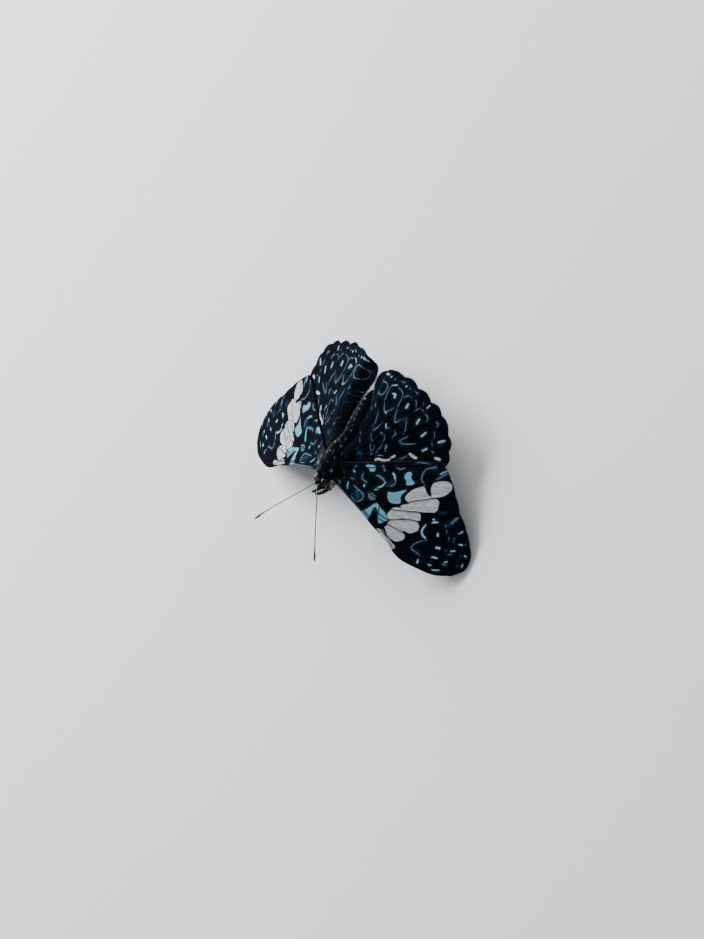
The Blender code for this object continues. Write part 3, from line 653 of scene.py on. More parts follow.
hind_line = [
    stroke((2.4, -20.7, 0.17), (3.0, -21.3, 0.20), (4.2, -21.4, 0.27), (5.4, -21.5, 0.30),
           (6.1, -21.1, 0.30), (6.2, -20.3, 0.27), (6.1, -19.6, 0.27), (5.8, -19.0, 0.32),
           (5.2, -18.7, 0.32), (4.2, -18.8, 0.27), (3.2, -19.3, 0.20), (2.6, -19.9, 0.15),
           (2.4, -20.7, 0.17)),
    stroke((7.1, -21.5, 0.20), (6.8, -20.6, 0.20), (6.8, -19.8, 0.22), (6.9, -18.9, 0.23),
           (7.1, -18.0, 0.25), (7.4, -17.3, 0.25), (7.8, -16.6, 0.27), (8.4, -16.1, 0.32),
           (9.1, -16.6, 0.28), (9.7, -17.2, 0.25), (10.0, -17.7, 0.20)),
    stroke((9.0, -21.9, 0.20), (10.0, -21.7, 0.27), (10.7, -21.3, 0.23), (10.9, -20.6, 0.20),
           (10.9, -19.8, 0.20), (10.9, -18.8, 0.23), (11.1, -17.7, 0.27), (11.2, -16.9, 0.27),
           (11.5, -16.0, 0.27), (11.9, -15.3, 0.32), (12.6, -15.5, 0.30), (13.4, -16.2, 0.27),
           (14.1, -17.0, 0.23), (14.6, -17.4, 0.18)),
    stroke((11.4, -20.7, 0.20), (11.9, -21.3, 0.27), (12.7, -21.5, 0.23), (13.3, -21.5, 0.20)),
    stroke((14.6, -21.4, 0.22), (15.1, -20.9, 0.25), (15.3, -20.3, 0.20)),
    stroke((15.7, -19.5, 0.22), (16.1, -20.1, 0.25), (16.6, -20.4, 0.27), (17.5, -20.3, 0.23)),
    stroke((18.4, -19.9, 0.27), (19.1, -19.7, 0.30), (19.4, -19.2, 0.23), (19.4, -18.7, 0.18)),
    stroke((14.6, -16.8, 0.20), (14.9, -16.0, 0.27), (15.1, -15.4, 0.27), (15.3, -14.7, 0.23),
           (15.1, -13.9, 0.20)),
    stroke((22.2, -17.6, 0.23), (22.5, -17.0, 0.27), (22.7, -16.4, 0.22)),
    stroke((14.8, -12.3, 0.18), (15.5, -12.1, 0.27), (17.1, -12.6, 0.27), (18.7, -13.4, 0.20)),
    stroke((14.9, -12.4, 0.18), (15.7, -13.2, 0.20), (16.4, -14.0, 0.18)),
    stroke((12.9, -13.6, 0.23), (13.4, -13.2, 0.33), (13.1, -12.6, 0.37), (12.9, -12.0, 0.27)),
    stroke((10.6, -13.3, 0.22), (11.6, -13.6, 0.23)),
    stroke((9.2, -13.9, 0.20), (8.7, -13.0, 0.27), (8.1, -12.2, 0.27), (7.6, -11.6, 0.28)),
    stroke((6.6, -15.6, 0.25), (6.8, -15.0, 0.27), (6.9, -14.3, 0.23), (7.1, -13.7, 0.23),
           (7.2, -12.9, 0.17)),
    stroke((5.1, -16.6, 0.27), (5.4, -16.0, 0.27)),
    stroke((2.0, -16.9, 0.23), (3.2, -16.4, 0.30)),
    stroke((9.4, -8.7, 0.20), (9.4, -7.9, 0.28), (9.2, -7.0, 0.35), (9.1, -6.6, 0.20)),
    stroke((10.7, -12.0, 0.15), (11.1, -10.9, 0.20), (10.9, -9.7, 0.20), (10.6, -8.5, 0.27),
           (10.2, -7.7, 0.32)),
    stroke((9.6, -11.9, 0.30), (10.4, -11.8, 0.30)),
    stroke((3.4, -6.7, 0.27), (3.9, -6.0, 0.35), (3.9, -5.2, 0.22)),
    stroke((10.6, -6.9, 0.17), (11.2, -7.5, 0.22), (12.2, -7.8, 0.17)),
    stroke((7.3, -10.6, 0.20), (7.8, -9.9, 0.28), (8.3, -9.3, 0.27)),
    stroke((3.0, -11.2, 0.23), (4.0, -10.1, 0.37), (4.9, -9.2, 0.25)),
    stroke((2.6, -14.5, 0.22), (3.5, -13.8, 0.33), (4.3, -13.2, 0.20)),
    stroke((7.1, -23.1, 0.27), (7.4, -23.0, 0.27)),
    stroke((8.9, -23.3, 0.33), (9.9, -23.5, 0.37)),
    stroke((11.8, -22.9, 0.25), (12.1, -22.9, 0.25)),
    stroke((13.3, -23.0, 0.28), (14.2, -22.8, 0.35)),
    stroke((21.7, -19.6, 0.28), (22.4, -19.5, 0.35), (22.3, -18.9, 0.27)),
    stroke((22.3, -15.6, 0.23), (22.7, -15.0, 0.27)),
    stroke((23.3, -13.8, 0.35), (23.7, -13.7, 0.35)),
    stroke((2.2, -21.4, 0.22), (3.4, -21.5, 0.23)),
    stroke((16.6, -21.8, 0.20), (16.8, -21.4, 0.18)),
    stroke((7.9, -9.0, 0.18), (8.5, -7.8, 0.23), (9.1, -7.1, 0.20)),
    stroke((16.0, -8.6, 0.18), (17.0, -9.4, 0.21), (17.9, -10.4, 0.18)),
    stroke((4.6, -8.8, 0.20), (5.3, -7.9, 0.26)),
    stroke((1.9, -15.6, 0.18), (3.2, -15.5, 0.22), (4.8, -15.2, 0.17)),
]
hind_dull = [
    stroke((5.4, -6.2, 0.75), (6.5, -5.6, 0.95)),
    stroke((7.0, -12.3, 0.42), (7.3, -11.7, 0.42)),
    stroke((15.0, -12.4, 0.43), (15.5, -12.0, 0.43)),
    stroke((12.2, -15.6, 0.42), (13.1, -16.2, 0.33)),
    stroke((24.6, -16.2, 0.83), (25.1, -16.8, 0.50)),
    stroke((8.7, -20.0, 0.83), (9.2, -19.9, 0.67)),
    stroke((13.1, -19.5, 0.83), (13.4, -19.4, 0.67)),
    stroke((17.3, -17.8, 0.83), (17.5, -17.8, 0.67)),
]
hind_cream = [
    stroke((10.8, -6.3, 0.20), (11.5, -6.8, 0.25), (12.6, -7.0, 0.21), (13.8, -7.6, 0.20),
           (14.5, -8.4, 0.22), (15.0, -9.1, 0.18)),
    stroke((18.4, -11.0, 0.27), (19.3, -10.9, 0.43), (20.2, -10.9, 0.30)),
    stroke((24.5, -12.9, 0.27), (25.1, -13.0, 0.37), (25.7, -13.1, 0.28)),
]
print(sum(map(len, (hind_light, hind_line, hind_dull, hind_cream))), "marks on a hindwing")

# %% [markdown]
# The underside follows what is usual in the species: a brown-black ground,
# the forewing's pale band again but plainer, a few white spots towards the tip, and
# dull red spots near the base and the inner corner of the hindwing.

# %% Patterns of the undersides
fore_under_light = [
    stroke((29.4, 2.3, 0.7), (29.4, 1.2, 0.7)),
    stroke((30.8, -1.2, 0.5), (32.0, -1.4, 0.5)),
    stroke((35.5, 7.6, 0.45), (36.9, 6.9, 0.45)),
    stroke((38.8, 0.3, 0.5), (39.9, -0.3, 0.45)),
    stroke((37.4, -1.6, 0.45), (38.4, -2.3, 0.45)),
    stroke((7.5, 0.7, 0.5), (8.1, 2.0, 0.5)),
    stroke((11.0, 2.1, 1.2), (11.7, 2.1, 1.0)),
    stroke((15.4, 4.0, 0.9), (16.0, 2.4, 0.6)),
]
fore_under_cream = fore_cream[:6] + [
    patch((19.8, -0.2), (21.8, -1.4), (23.8, -3.8), (25.2, -6.0), (24.0, -6.7), (21.6, -4.7), (19.8, -2.3)),
]
hind_under_light = hind_light[:5]
hind_under_red = [
    stroke((4.9, -20.0, 1.4), (5.8, -19.4, 1.2)),
    stroke((8.3, -17.6, 1.2), (9.2, -16.7, 0.8)),
    stroke((4.1, -6.8, 1.1), (5.4, -7.7, 0.9)),
    stroke((6.7, -11.2, 1.1), (7.6, -12.1, 0.8)),
    stroke((12.2, -16.6, 0.9), (13.0, -15.8, 0.6)),
]
print(len(fore_under_light), "light and", len(hind_under_red), "red marks on the undersides")

# %% [markdown]
# A wing is far thinner than its solid, which is half a millimetre for handling: here it
# is a fifth of one. Its grid is stretched between its front, outer and inner edges and
# its root (a Coons patch), so that the rows of faces follow the scalloped margin.

# %% The four edges, and the grid between them
OUTER, INNER = 1, 2         # where these two stand among a wing's edges
EDGE_STEP = 0.4             # millimetres between points of a smooth edge
TIP_STEP = 0.3
fore_margin = np.vstack([smooth(FORE_TIP, TIP_STEP)[:-1], scalloped(FORE_OUTER, FORE_SCALLOP)])
hind_margin = scalloped(HIND_OUTER, HIND_SCALLOP)
EDGES = {
    "forewing": (smooth(FORE_FRONT, EDGE_STEP), fore_margin, smooth(FORE_INNER, EDGE_STEP)),
    "hindwing": (smooth(HIND_FRONT, EDGE_STEP), hind_margin, smooth(HIND_INNER, EDGE_STEP)),
}
VEINS = {"forewing": FORE_VEINS, "hindwing": HIND_VEINS}
LEVELS = {"forewing": fore_level, "hindwing": hind_level}


def stretched(front, outer, inner, s, t):
    """Places on the flat wing: s runs from the root to the outer edge, t from front to inner edge."""
    back = inner[::-1]
    root = np.array([front[0], back[0]])
    s_column, t_column = s[:, None], t[:, None]
    sides = (1 - t_column) * along(front, s) + t_column * along(back, s)
    ends = (1 - s_column) * along(root, t) + s_column * along(outer, t)
    corners = ((1 - s_column) * ((1 - t_column) * front[0] + t_column * back[0])
               + s_column * ((1 - t_column) * front[-1] + t_column * back[-1]))
    return sides + ends - corners


def on_wing(kind, side, flat, above=0.0):
    """Scene points over places of the flat wing, brought onto its arch."""
    u, v = flat.T
    return place(side * (WING_ROOT_U + (u - WING_ROOT_U) * SPREAD), v, LEVELS[kind](u, v) + above)


print({kind: [len(edge) for edge in edges] for kind, edges in EDGES.items()}, "points in the edges")

# %% [markdown]
# A Solidify modifier gives the sheet its two faces. The veins are then raised along each
# face's own normals, more above than below, and the membrane between them swells very
# slightly. The right forewing's pattern lies up to a millimetre otherwise than the left
# one's, as on many real wings.

# %% Relief of the wings
MEMBRANE = 0.18
VEIN_RAISE = 0.13
VEIN_WIDTH = 0.24
VEIN_FADE = 1.2             # the veins flatten over this last stretch before the edge
PILLOW = 0.07               # how far the membrane swells between the veins
PILLOW_RUN = 1.6
PILLOW_FADE = 2.0
UNDERSIDE_SHARE = 0.35      # relief of the lower face, against the upper one's


def relief(gap, rim):
    """How far a face rises where a vein is that gap away, and the edge is at rim."""
    raised = VEIN_RAISE * np.exp(-(gap / VEIN_WIDTH) ** 2) * ease(rim / VEIN_FADE)
    return raised + PILLOW * ease(gap / PILLOW_RUN) * ease(rim / PILLOW_FADE)


def two_faces(obj):
    """Give a sheet its thickness; return the number of the sheet's point below each new one."""
    column(obj, "number", np.arange(len(obj.data.vertices)))
    solid = obj.modifiers.new("two faces", "SOLIDIFY")
    solid.thickness = MEMBRANE * MM
    solid.offset = 0.0
    bpy.ops.object.modifier_apply(modifier=solid.name)
    close_seams(obj, gap=0)
    number = np.empty(len(obj.data.vertices), np.float32)
    obj.data.attributes["number"].data.foreach_get("value", number)
    obj.data.attributes.remove(obj.data.attributes["number"])
    return np.round(number).astype(int)


def slipped(flat):
    """The right forewing's places in the pattern, which was drawn from the left one."""
    u, v = flat.T
    towards_tip = ease((v + 0.8 * (u - 30.0) + 4.0) / 14.0)
    return flat - np.stack([(-0.88 + 1.5 * towards_tip) * ease(u / 12.0), -0.022 * u], axis=1)


print("a vein rises", VEIN_RAISE, "mm from a membrane of", MEMBRANE, "mm")

# %% [markdown]
# Each point of a wing gets a number for each part of the pattern: its distance from the
# nearest mark of that kind, taken from the upper or the under pattern. The material
# turns those numbers into colours.

# %% Build the four wings
FINE_GRID = {"forewing": (290, 150), "hindwing": (165, 260)}
LAYERS = ("light", "line", "dull", "cream", "red")
ABOVE = {
    "forewing": {"light": fore_light, "line": fore_line, "dull": fore_dull, "cream": fore_cream},
    "hindwing": {"light": hind_light, "line": hind_line, "dull": hind_dull, "cream": hind_cream},
}
BELOW = {
    "forewing": {"light": fore_under_light, "cream": fore_under_cream},
    "hindwing": {"light": hind_under_light, "red": hind_under_red},
}


def wing(kind, side):
    """A membrane with raised veins, and a number at each point for every part of its pattern."""
    grid_size = FINE_GRID[kind]
    obj, s, t = new_grid(kind + "_membrane_" + SIDES[side], *grid_size)
    flat = stretched(*EDGES[kind], s, t)
    move_points(obj, on_wing(kind, side, flat))
    obj.data.update()
    number = two_faces(obj)
    upper = points_of(obj)[:, 2] > LEVELS[kind](*flat[number].T)
    gap = vein_gap(flat, VEINS[kind])
    rim = from_line(flat, hairline(np.vstack(EDGES[kind])))
    normals = read_points(obj, "normal") * np.where(upper, 1.0, UNDERSIDE_SHARE)[:, None]
    move_points(obj, read_points(obj) + normals * (relief(gap, rim)[number] * MM)[:, None])
    column(obj, "vein", gap[number])
    column(obj, "along_u", flat[number, 0])
    column(obj, "along_v", flat[number, 1])
    column(obj, "underside", np.where(upper, 0.0, 1.0))
    marked = slipped(flat) if (kind, side) == ("forewing", -1) else flat
    for layer in LAYERS:
        faces = [nearest(marked, face[kind].get(layer, []))[number] for face in (ABOVE, BELOW)]
        column(obj, layer, np.where(upper, *faces))
    bpy.ops.object.shade_smooth()
    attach(obj, "root")
    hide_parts(kind + "_" + SIDES[side])
    return obj


wings = [wing(kind, side) for side in SIDES for kind in ("forewing", "hindwing")]
print([(obj.name, len(obj.data.polygons)) for obj in wings])

# %% [markdown]
# A butterfly's wing is tiled with flat scales of chitin, about a tenth of a millimetre
# wide, in rows across the wing. Their pigment gives the colour. They scatter light so
# well that the wing looks matt like velvet, which a rough shader with hardly any
# highlight gives. Black is never flat: single blue scales dust it, most near the root
# and round the blue marks.

# %% Wing scales: the black ground
SINGLE_SCALE = 0.1
CLOUD = 6.0                 # millimetres from one browner or bluer part to the next
wing_scales, add, shader = new_material("wing_scales", Roughness=0.8, Specular_IOR_Level=0.003)
place_on = add("TexCoord", out="Object")
near = {name: add("Attribute", attribute_name=name, out="Fac")
        for name in ("along_u", "along_v", "underside", "vein") + LAYERS}
speckle = add("TexNoise", place_on, Scale=1 / (SINGLE_SCALE * MM), Detail=1.0)
cloud = add("TexNoise", place_on, Scale=1 / (CLOUD * MM), Detail=3.0)
uneven = add("MapRange", cloud, 0.35, 0.75, **EASED)
ground = add("MixRGB", uneven, tint("#040507"), tint("#06090f"))
single = add("Math", add("MapRange", speckle, 0.62, 0.74, **EASED), 0.3, **TIMES)
ground = add("MixRGB", single, ground, tint("#1a293a"))
by_root = add("MapRange", near["along_u"], 16.0, 4.0, **EASED)
by_root = add("Math", by_root, add("MapRange", speckle, 0.45, 0.68, **EASED), **TIMES)
ground = add("MixRGB", add("Math", by_root, 0.22, **TIMES), ground, tint("#1c2e42"))
halo = add("MapRange", add("Math", near["light"], near["line"], **SMALLER), 0.8, 0.0, **EASED)
halo = add("Math", halo, add("MapRange", speckle, 0.35, 0.6, **EASED), **TIMES)
ground = add("MixRGB", add("Math", halo, 0.55, **TIMES), ground, tint("#122031"))
brown = add("MixRGB", add("MapRange", cloud, 0.3, 0.7, **EASED), tint("#17110f"), tint("#2a201b"))
colour = add("MixRGB", near["underside"], ground, brown)
print("ground of", wing_scales.name, "ready")

# %% [markdown]
# The marks are laid over the ground one kind after the other. A fine noise is added to
# each distance, so that an edge is ragged by single scales, as the edge of a real mark
# is. The cream band is streaked along the veins, and the veins run dark through all.

# %% Wing scales: the marks
NOTCH = 0.16                # millimetres along a ragged edge
NOTCH_DEPTH = 0.22
ragged = add("Math", add("TexNoise", place_on, Scale=1 / (NOTCH * MM)), 0.5, **LESS)
ragged = add("Math", ragged, NOTCH_DEPTH, **TIMES)
mottled = add("MapRange", speckle, 0.3, 0.65, **EASED)
line_blue = add("MixRGB", mottled, tint("#28343b"), tint("#4a5c66"))
light_blue = add("MixRGB", mottled, tint("#38606f"), tint("#5f8c9b"))
outer_half = add("Math", add("MapRange", near["along_u"], 27.0, 31.0, **EASED),
                 add("MapRange", near["along_v"], -12.0, -15.0, **EASED), **LARGER)
light_blue = add("MixRGB", add("Math", outer_half, 0.6, **TIMES), light_blue, tint("#8399a3"))
light_blue = add("MixRGB", add("Math", near["underside"], 0.8, **TIMES), light_blue, tint("#a5a19c"))
slant = add("Math", near["along_v"], add("Math", near["along_u"], 0.35, **TIMES), **SUM)
streak_spot = add("CombineXYZ", X=add("Math", near["along_u"], 0.5, **TIMES),
                  Y=add("Math", slant, 3.2, **TIMES))
stripes = add("TexNoise", streak_spot, Scale=1.0, Detail=3.0)
cream = add("MixRGB", add("MapRange", stripes, 0.36, 0.64, **EASED), tint("#7f8184"), tint("#9c9e9d"))
grey_scales = add("Math", add("MapRange", speckle, 0.58, 0.7, **EASED), 0.35, **TIMES)
cream = add("MixRGB", grey_scales, cream, tint("#4c4c53"))

blurred = add("Math", add("Math", speckle, 0.5, **LESS), 2.2, **TIMES)
dull = add("MapRange", add("Math", near["dull"], blurred, **SUM), 0.4, -0.4, **EASED)
colour = add("MixRGB", add("Math", dull, 0.6, **TIMES), colour, tint("#1b3850"))
# Each kind of mark, its colour, and the distances where it begins and is full
for name, paint, begins, full in (
        ("line", line_blue, 0.06, -0.06), ("light", light_blue, 0.07, -0.07),
        ("cream", cream, 0.22, 0.04), ("red", tint("#6e2418"), 0.15, -0.15)):
    cover = add("MapRange", add("Math", near[name], ragged, **SUM), begins, full, **EASED)
    colour = add("MixRGB", cover, colour, paint)
vein_dark = add("Math", add("MapRange", near["vein"], 0.2, 0.08, **EASED), 0.8, **TIMES)
colour = add("MixRGB", vein_dark, colour, tint("#060608"))
print("marks of", wing_scales.name, "ready")

# %% [markdown]
# Real rows of scales stand about a tenth of a millimetre apart, which is too fine to show
# here. They are drawn twice as coarse, as a wavy ridge with small tiles on it, in a bump
# that catches a grazing light.

# %% Wing scales: rows and tiles
SCALE_ROW = 0.2
SCALE_TILE = 0.14
wavy = add("Math", add("TexNoise", place_on, Scale=1 / (0.5 * MM)), 0.12, **TIMES)
across = add("Math", near["along_u"], wavy, **SUM)
row = add("Math", add("Math", across, 2 * math.pi / SCALE_ROW, **TIMES), operation="SINE")
tiles = add("TexVoronoi", place_on, Scale=1 / (SCALE_TILE * MM))
height = add("Math", add("Math", row, 0.35, **TIMES), tiles, **SUM)
relief_of_scales = add("Bump", Strength=0.35, Distance=0.03 * MM, Height=height)
finish(wing_scales, shader, Base_Color=colour, Normal=relief_of_scales)
for obj in wings:
    obj.data.materials.append(wing_scales)
print("finish", wing_scales.name, "on", len(wings), "wings")

# %% [markdown]
# One skin runs from the face to the tip of the abdomen, so no seam shows between the
# solids that it replaces. It is a grid rolled into a tube of oval rings, and it lies
# inside the solids by the depth of the fur. The abdomen draws in where two segments
# meet, and behind the head is a narrow neck.

# %% Body skin
# Each ring: v, z of its centre, half width, half height, depth of the fur
BODY_RINGS = np.array([
    (5.2, -1.0, 0.0, 0.0, 0.0), (5.08, -1.0, 0.35, 0.45, 0.1), (4.8, -0.9, 0.75, 0.85, 0.15),
    (4.2, -0.75, 1.2, 1.25, 0.2), (3.3, -0.7, 1.5, 1.45, 0.2), (2.2, -0.85, 1.4, 1.4, 0.2),
    (1.6, -1.1, 1.1, 1.15, 0.1), (1.3, -1.2, 1.1, 1.15, 0.1), (0.9, -1.3, 1.6, 1.6, 0.24),
    (-0.3, -1.7, 2.6, 2.3, 0.32), (-1.8, -2.0, 3.1, 2.6, 0.34), (-3.6, -2.1, 3.0, 2.5, 0.34),
    (-5.4, -2.2, 2.3, 2.1, 0.32), (-6.8, -2.3, 1.5, 1.6, 0.25), (-7.3, -2.34, 1.28, 1.4, 0.2),
    (-8.2, -2.5, 1.75, 1.6, 0.16), (-10.5, -2.65, 1.9, 1.7, 0.12), (-13.5, -2.75, 1.7, 1.5, 0.12),
    (-16.0, -2.8, 1.2, 1.15, 0.12), (-17.5, -3.0, 0.7, 0.75, 0.1), (-18.1, -3.1, 0.3, 0.35, 0.06),
    (-18.2, -3.12, 0.0, 0.0, 0.0),
])
BODY_LENGTH = BODY_RINGS[0, 0] - BODY_RINGS[-1, 0]
ABDOMEN_START = -7.3
ABDOMEN_SEGMENTS = 7
JOINT_DEPTH = 0.09
JOINT_WIDTH = 0.11          # as a share of a segment's length
body_line = smooth(BODY_RINGS, 0.2)


def ring_at(v):
    """The body's ring at v: its centre's level, half width, half height and fur depth."""
    return [np.interp(-v, -body_line[:, 0], body_line[:, k]) for k in (1, 2, 3, 4)]


def on_body(v, angle, above=0.0):
    """Points of the skin at v and an angle round the body, with 90 degrees on top."""
    level, width, height, depth = ring_at(v)
    behind = (ABDOMEN_START - v) / (ABDOMEN_START - BODY_RINGS[-1, 0]) * ABDOMEN_SEGMENTS
    joint = np.exp(-((behind - np.round(behind)) / JOINT_WIDTH) ** 2)
    drawn_in = np.where(behind > 0.3, JOINT_DEPTH * joint, 0.0)
    shrink = np.minimum(depth + drawn_in, 0.8 * np.maximum(width, 0.0)) - above
    turn = np.radians(angle)
    return place((width - shrink) * np.cos(turn), v, level + (height - shrink) * np.sin(turn))


def body_tube(s, t):
    """The skin from the face, where s is 0, to the tip of the abdomen; t runs round it."""
    return on_body(BODY_RINGS[0, 0] - s * BODY_LENGTH, t * 360.0 - 90.0)


skin = bent_grid("body_skin", 300, 96, body_tube)
close_seams(skin, gap=2e-6)
bpy.ops.object.shade_smooth()
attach(skin, "root")
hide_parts("head", "thorax", "abdomen")
print("skin of", len(skin.data.polygons), "faces,", round(BODY_LENGTH, 1), "mm long")

# %% [markdown]
# Rows of pale dots run in pairs down the head and the thorax and fade out on the
# abdomen. The same function marks the skin and each tuft of the fur, so the two agree.
# The pale tufts are short and upright, which keeps the dots crisp.

# %% Body markings
# Each dot: v, angle from the middle line, half length, half width
BODY_DOTS = [
    (4.7, 22, 0.13, 0.1), (4.15, 36, 0.18, 0.13), (3.5, 14, 0.16, 0.11), (3.0, 42, 0.2, 0.14),
    (2.5, 70, 0.18, 0.13), (2.0, 30, 0.2, 0.15), (3.6, 88, 0.2, 0.15), (0.9, 20, 0.2, 0.15),
    (0.45, 52, 0.2, 0.15), (-0.7, 14, 0.22, 0.15), (-0.9, 40, 0.18, 0.13), (-1.3, 66, 0.24, 0.16),
    (-2.1, 30, 0.2, 0.14), (-2.2, 95, 0.3, 0.2), (-2.9, 12, 0.22, 0.16), (-3.5, 52, 0.24, 0.16),
    (-4.7, 28, 0.26, 0.18), (-5.6, 10, 0.18, 0.13), (-6.4, 34, 0.22, 0.17), (-8.75, 34, 0.2, 0.15),
    (-9.9, 24, 0.15, 0.11), (-11.1, 17, 0.2, 0.14), (-12.3, 14, 0.14, 0.1), (-13.5, 12, 0.16, 0.12),
    (-14.7, 10, 0.14, 0.1), (-15.9, 8, 0.24, 0.2),
]


def body_pale(v, angle):
    """How pale the coat is at v and an angle round the body, 0 to 1."""
    width = np.maximum(ring_at(v)[1], 0.2)
    aside = np.abs((angle - 90.0 + 180.0) % 360.0 - 180.0)
    pale = np.zeros(np.broadcast(v, angle).shape)
    for dot_v, dot_angle, half_length, half_width in BODY_DOTS:
        across = np.radians(aside - dot_angle) * width
        pale = np.maximum(pale, 1.0 - ease(np.hypot((v - dot_v) / half_length, across / half_width) - 0.5))
    return pale


def paint_body(obj, v, angle):
    """Store the markings for a piece whose points lie at v and an angle."""
    column(obj, "pale", body_pale(v, angle))
    column(obj, "below", ease((-np.sin(np.radians(angle)) - 0.1) / 0.5))


skin_u, skin_v, skin_z = points_of(skin).T
paint_body(skin, skin_v, np.degrees(np.arctan2(skin_z - ring_at(skin_v)[0], skin_u)))
print("painted", len(BODY_DOTS), "pairs of dots")

# %% [markdown]
# The fur is real mesh: thousands of thin, bent, three-sided tufts that lie back along the
# body. Each is a copy of one pattern of seven points, turned and stretched in columns of
# numbers. Each tuft has a tiny patch of its own on a map of the body, so that baked
# colours land on the right tuft.

# %% Tufts
luck = np.random.default_rng(11)
TUFT_FACES = [(0, 1, 4, 3), (1, 2, 5, 4), (2, 0, 3, 5), (3, 4, 6), (4, 5, 6), (5, 3, 6), (2, 1, 0)]
TUFT_POINTS = 7
TUFT_TAPER = 0.75           # width halfway up, against that at the root
TUFT_MAP = np.array([(-1, -1), (1, -1), (0, -1), (-1, 0), (1, 0), (0, 0), (0, 1)])
PATCH = 0.003
MAP_MARGIN = 0.02


def unit(rows):
    """Arrows of length 1."""
    return rows / np.maximum(np.linalg.norm(rows, axis=1, keepdims=True), 1e-12)


def tufts(name, roots, ways, outward, length, width, curl, maps):
    """One mesh of bent three-sided tufts, from columns of roots, directions and sizes in metres."""
    sideways = unit(np.cross(ways, outward))
    lift = unit(np.cross(sideways, ways))
    count = len(roots)
    length, width, curl = (np.broadcast_to(value, count)[:, None] for value in (length, width, curl))
    middle = roots + ways * length * 0.5 + lift * length * curl
    points = np.empty((count, TUFT_POINTS, 3))
    for k, turned in enumerate(np.radians((90, 210, 330))):
        spoke = sideways * math.cos(turned) + lift * math.sin(turned)
        points[:, k] = roots + spoke * width
        points[:, 3 + k] = middle + spoke * width * TUFT_TAPER
    points[:, 6] = roots + ways * length
    faces = [tuple(TUFT_POINTS * i + k for k in face) for i in range(count) for face in TUFT_FACES]
    mesh = bpy.data.meshes.new(name)
    mesh.from_pydata(points.reshape(-1, 3).tolist(), [], faces)
    obj = bpy.data.objects.new(name, mesh)
    bpy.context.collection.objects.link(obj)
    spread_map = (maps[:, None, :] + (TUFT_MAP * PATCH / 2)[None]).reshape(-1, 2)
    corner = np.empty(len(mesh.loops), np.int32)
    mesh.loops.foreach_get("vertex_index", corner)
    layer = mesh.uv_layers.new(name="OFBake")
    layer.data.foreach_set("uv", spread_map[corner].ravel().astype(np.float32))
    column(obj, "tone", np.repeat(luck.random(count), TUFT_POINTS))
    mesh.shade_smooth()
    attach(obj, "root")
    return obj


def on_map(across, along_it, margin=MAP_MARGIN):
    """Places on a map for columns that run 0 to 1, kept off its edges by a margin."""
    return margin + (1 - 2 * margin) * np.stack([across, along_it], axis=1)


print("a tuft has", TUFT_POINTS, "points and", len(TUFT_FACES), "faces")

# %% [markdown]
# On the thorax the tufts are long and shaggy, round the neck they stand out as a collar
# that hides it, and on the abdomen they are short and smooth. None grows where an eye or
# a wing root is.

# %% Fur of the body
# Each coat: name, v where it begins and ends, tufts, length, width, how far it stands out, bend
COATS = [
    ("head_fur", 5.0, 1.3, 6500, 0.5, 0.028, 0.5, 0.12),
    ("collar_fur", 2.5, -0.6, 5200, 1.6, 0.034, 1.1, 0.1),
    ("thorax_fur", 1.4, -7.4, 19000, 0.9, 0.034, 0.26, 0.12),
    ("abdomen_fur", -7.2, -18.0, 15000, 0.45, 0.032, 0.1, 0.08),
]
hair_share = 1.0
EYE_ZONE = (2.3, 4.2)       # v between which the sides of the head are eye
WING_ZONE = (-5.0, 1.4)     # v between which the sides of the thorax hold the wings
EYE_SIDE, WING_SIDE = 0.75, 0.93


def body_coat(name, first_v, last_v, count, length, width, lift, curl):
    """Fur between two places on the body, lying back and a little outwards."""
    v = luck.uniform(last_v, first_v, count)
    angle = luck.uniform(-90, 270, count)
    sideways, upwards = np.abs(np.cos(np.radians(angle))), np.sin(np.radians(angle))
    eyes_there = (v > EYE_ZONE[0]) & (v < EYE_ZONE[1]) & (sideways > EYE_SIDE)
    wings_there = (v > WING_ZONE[0]) & (v < WING_ZONE[1]) & (sideways > WING_SIDE) & (upwards > -0.1)
    keep = ~(eyes_there | wings_there)
    v, angle = v[keep], angle[keep]
    count = len(v)
    roots = on_body(v, angle, above=-0.03)
    outward = unit(on_body(v, angle, above=0.3) - roots)
    back = unit(on_body(v - 0.15, angle) - on_body(v + 0.15, angle))
    drift = luck.normal(0.0, 0.22, (count, 3))
    pale = body_pale(v, angle)
    ways = unit(back + outward * (lift + 0.5 * pale)[:, None] + drift)
    long = length * luck.uniform(0.65, 1.25, count) * (1.0 - 0.45 * pale) * MM
    wide = width * luck.uniform(0.7, 1.3, count) * MM
    maps = on_map((angle + 90) / 360, (BODY_RINGS[0, 0] - v) / BODY_LENGTH)
    obj = tufts(name, roots, ways, outward, long, wide, curl, maps)
    paint_body(obj, np.repeat(v, TUFT_POINTS), np.repeat(angle, TUFT_POINTS))
    return obj


coats = [body_coat(name, first_v, last_v, int(count * hair_share), *sizes)
         for name, first_v, last_v, count, *sizes in COATS]
print([(obj.name, len(obj.data.polygons)) for obj in coats])

# %% [markdown]
# Skin and fur share one finish: black hairs with a faint brown cast below, a blue-grey
# bloom on some of them, and off-white dots. Single hairs differ a little in tone, which
# keeps the fur from looking like one cloth. A number that a piece doesn't carry counts
# as 0, so a piece without marks needs none.

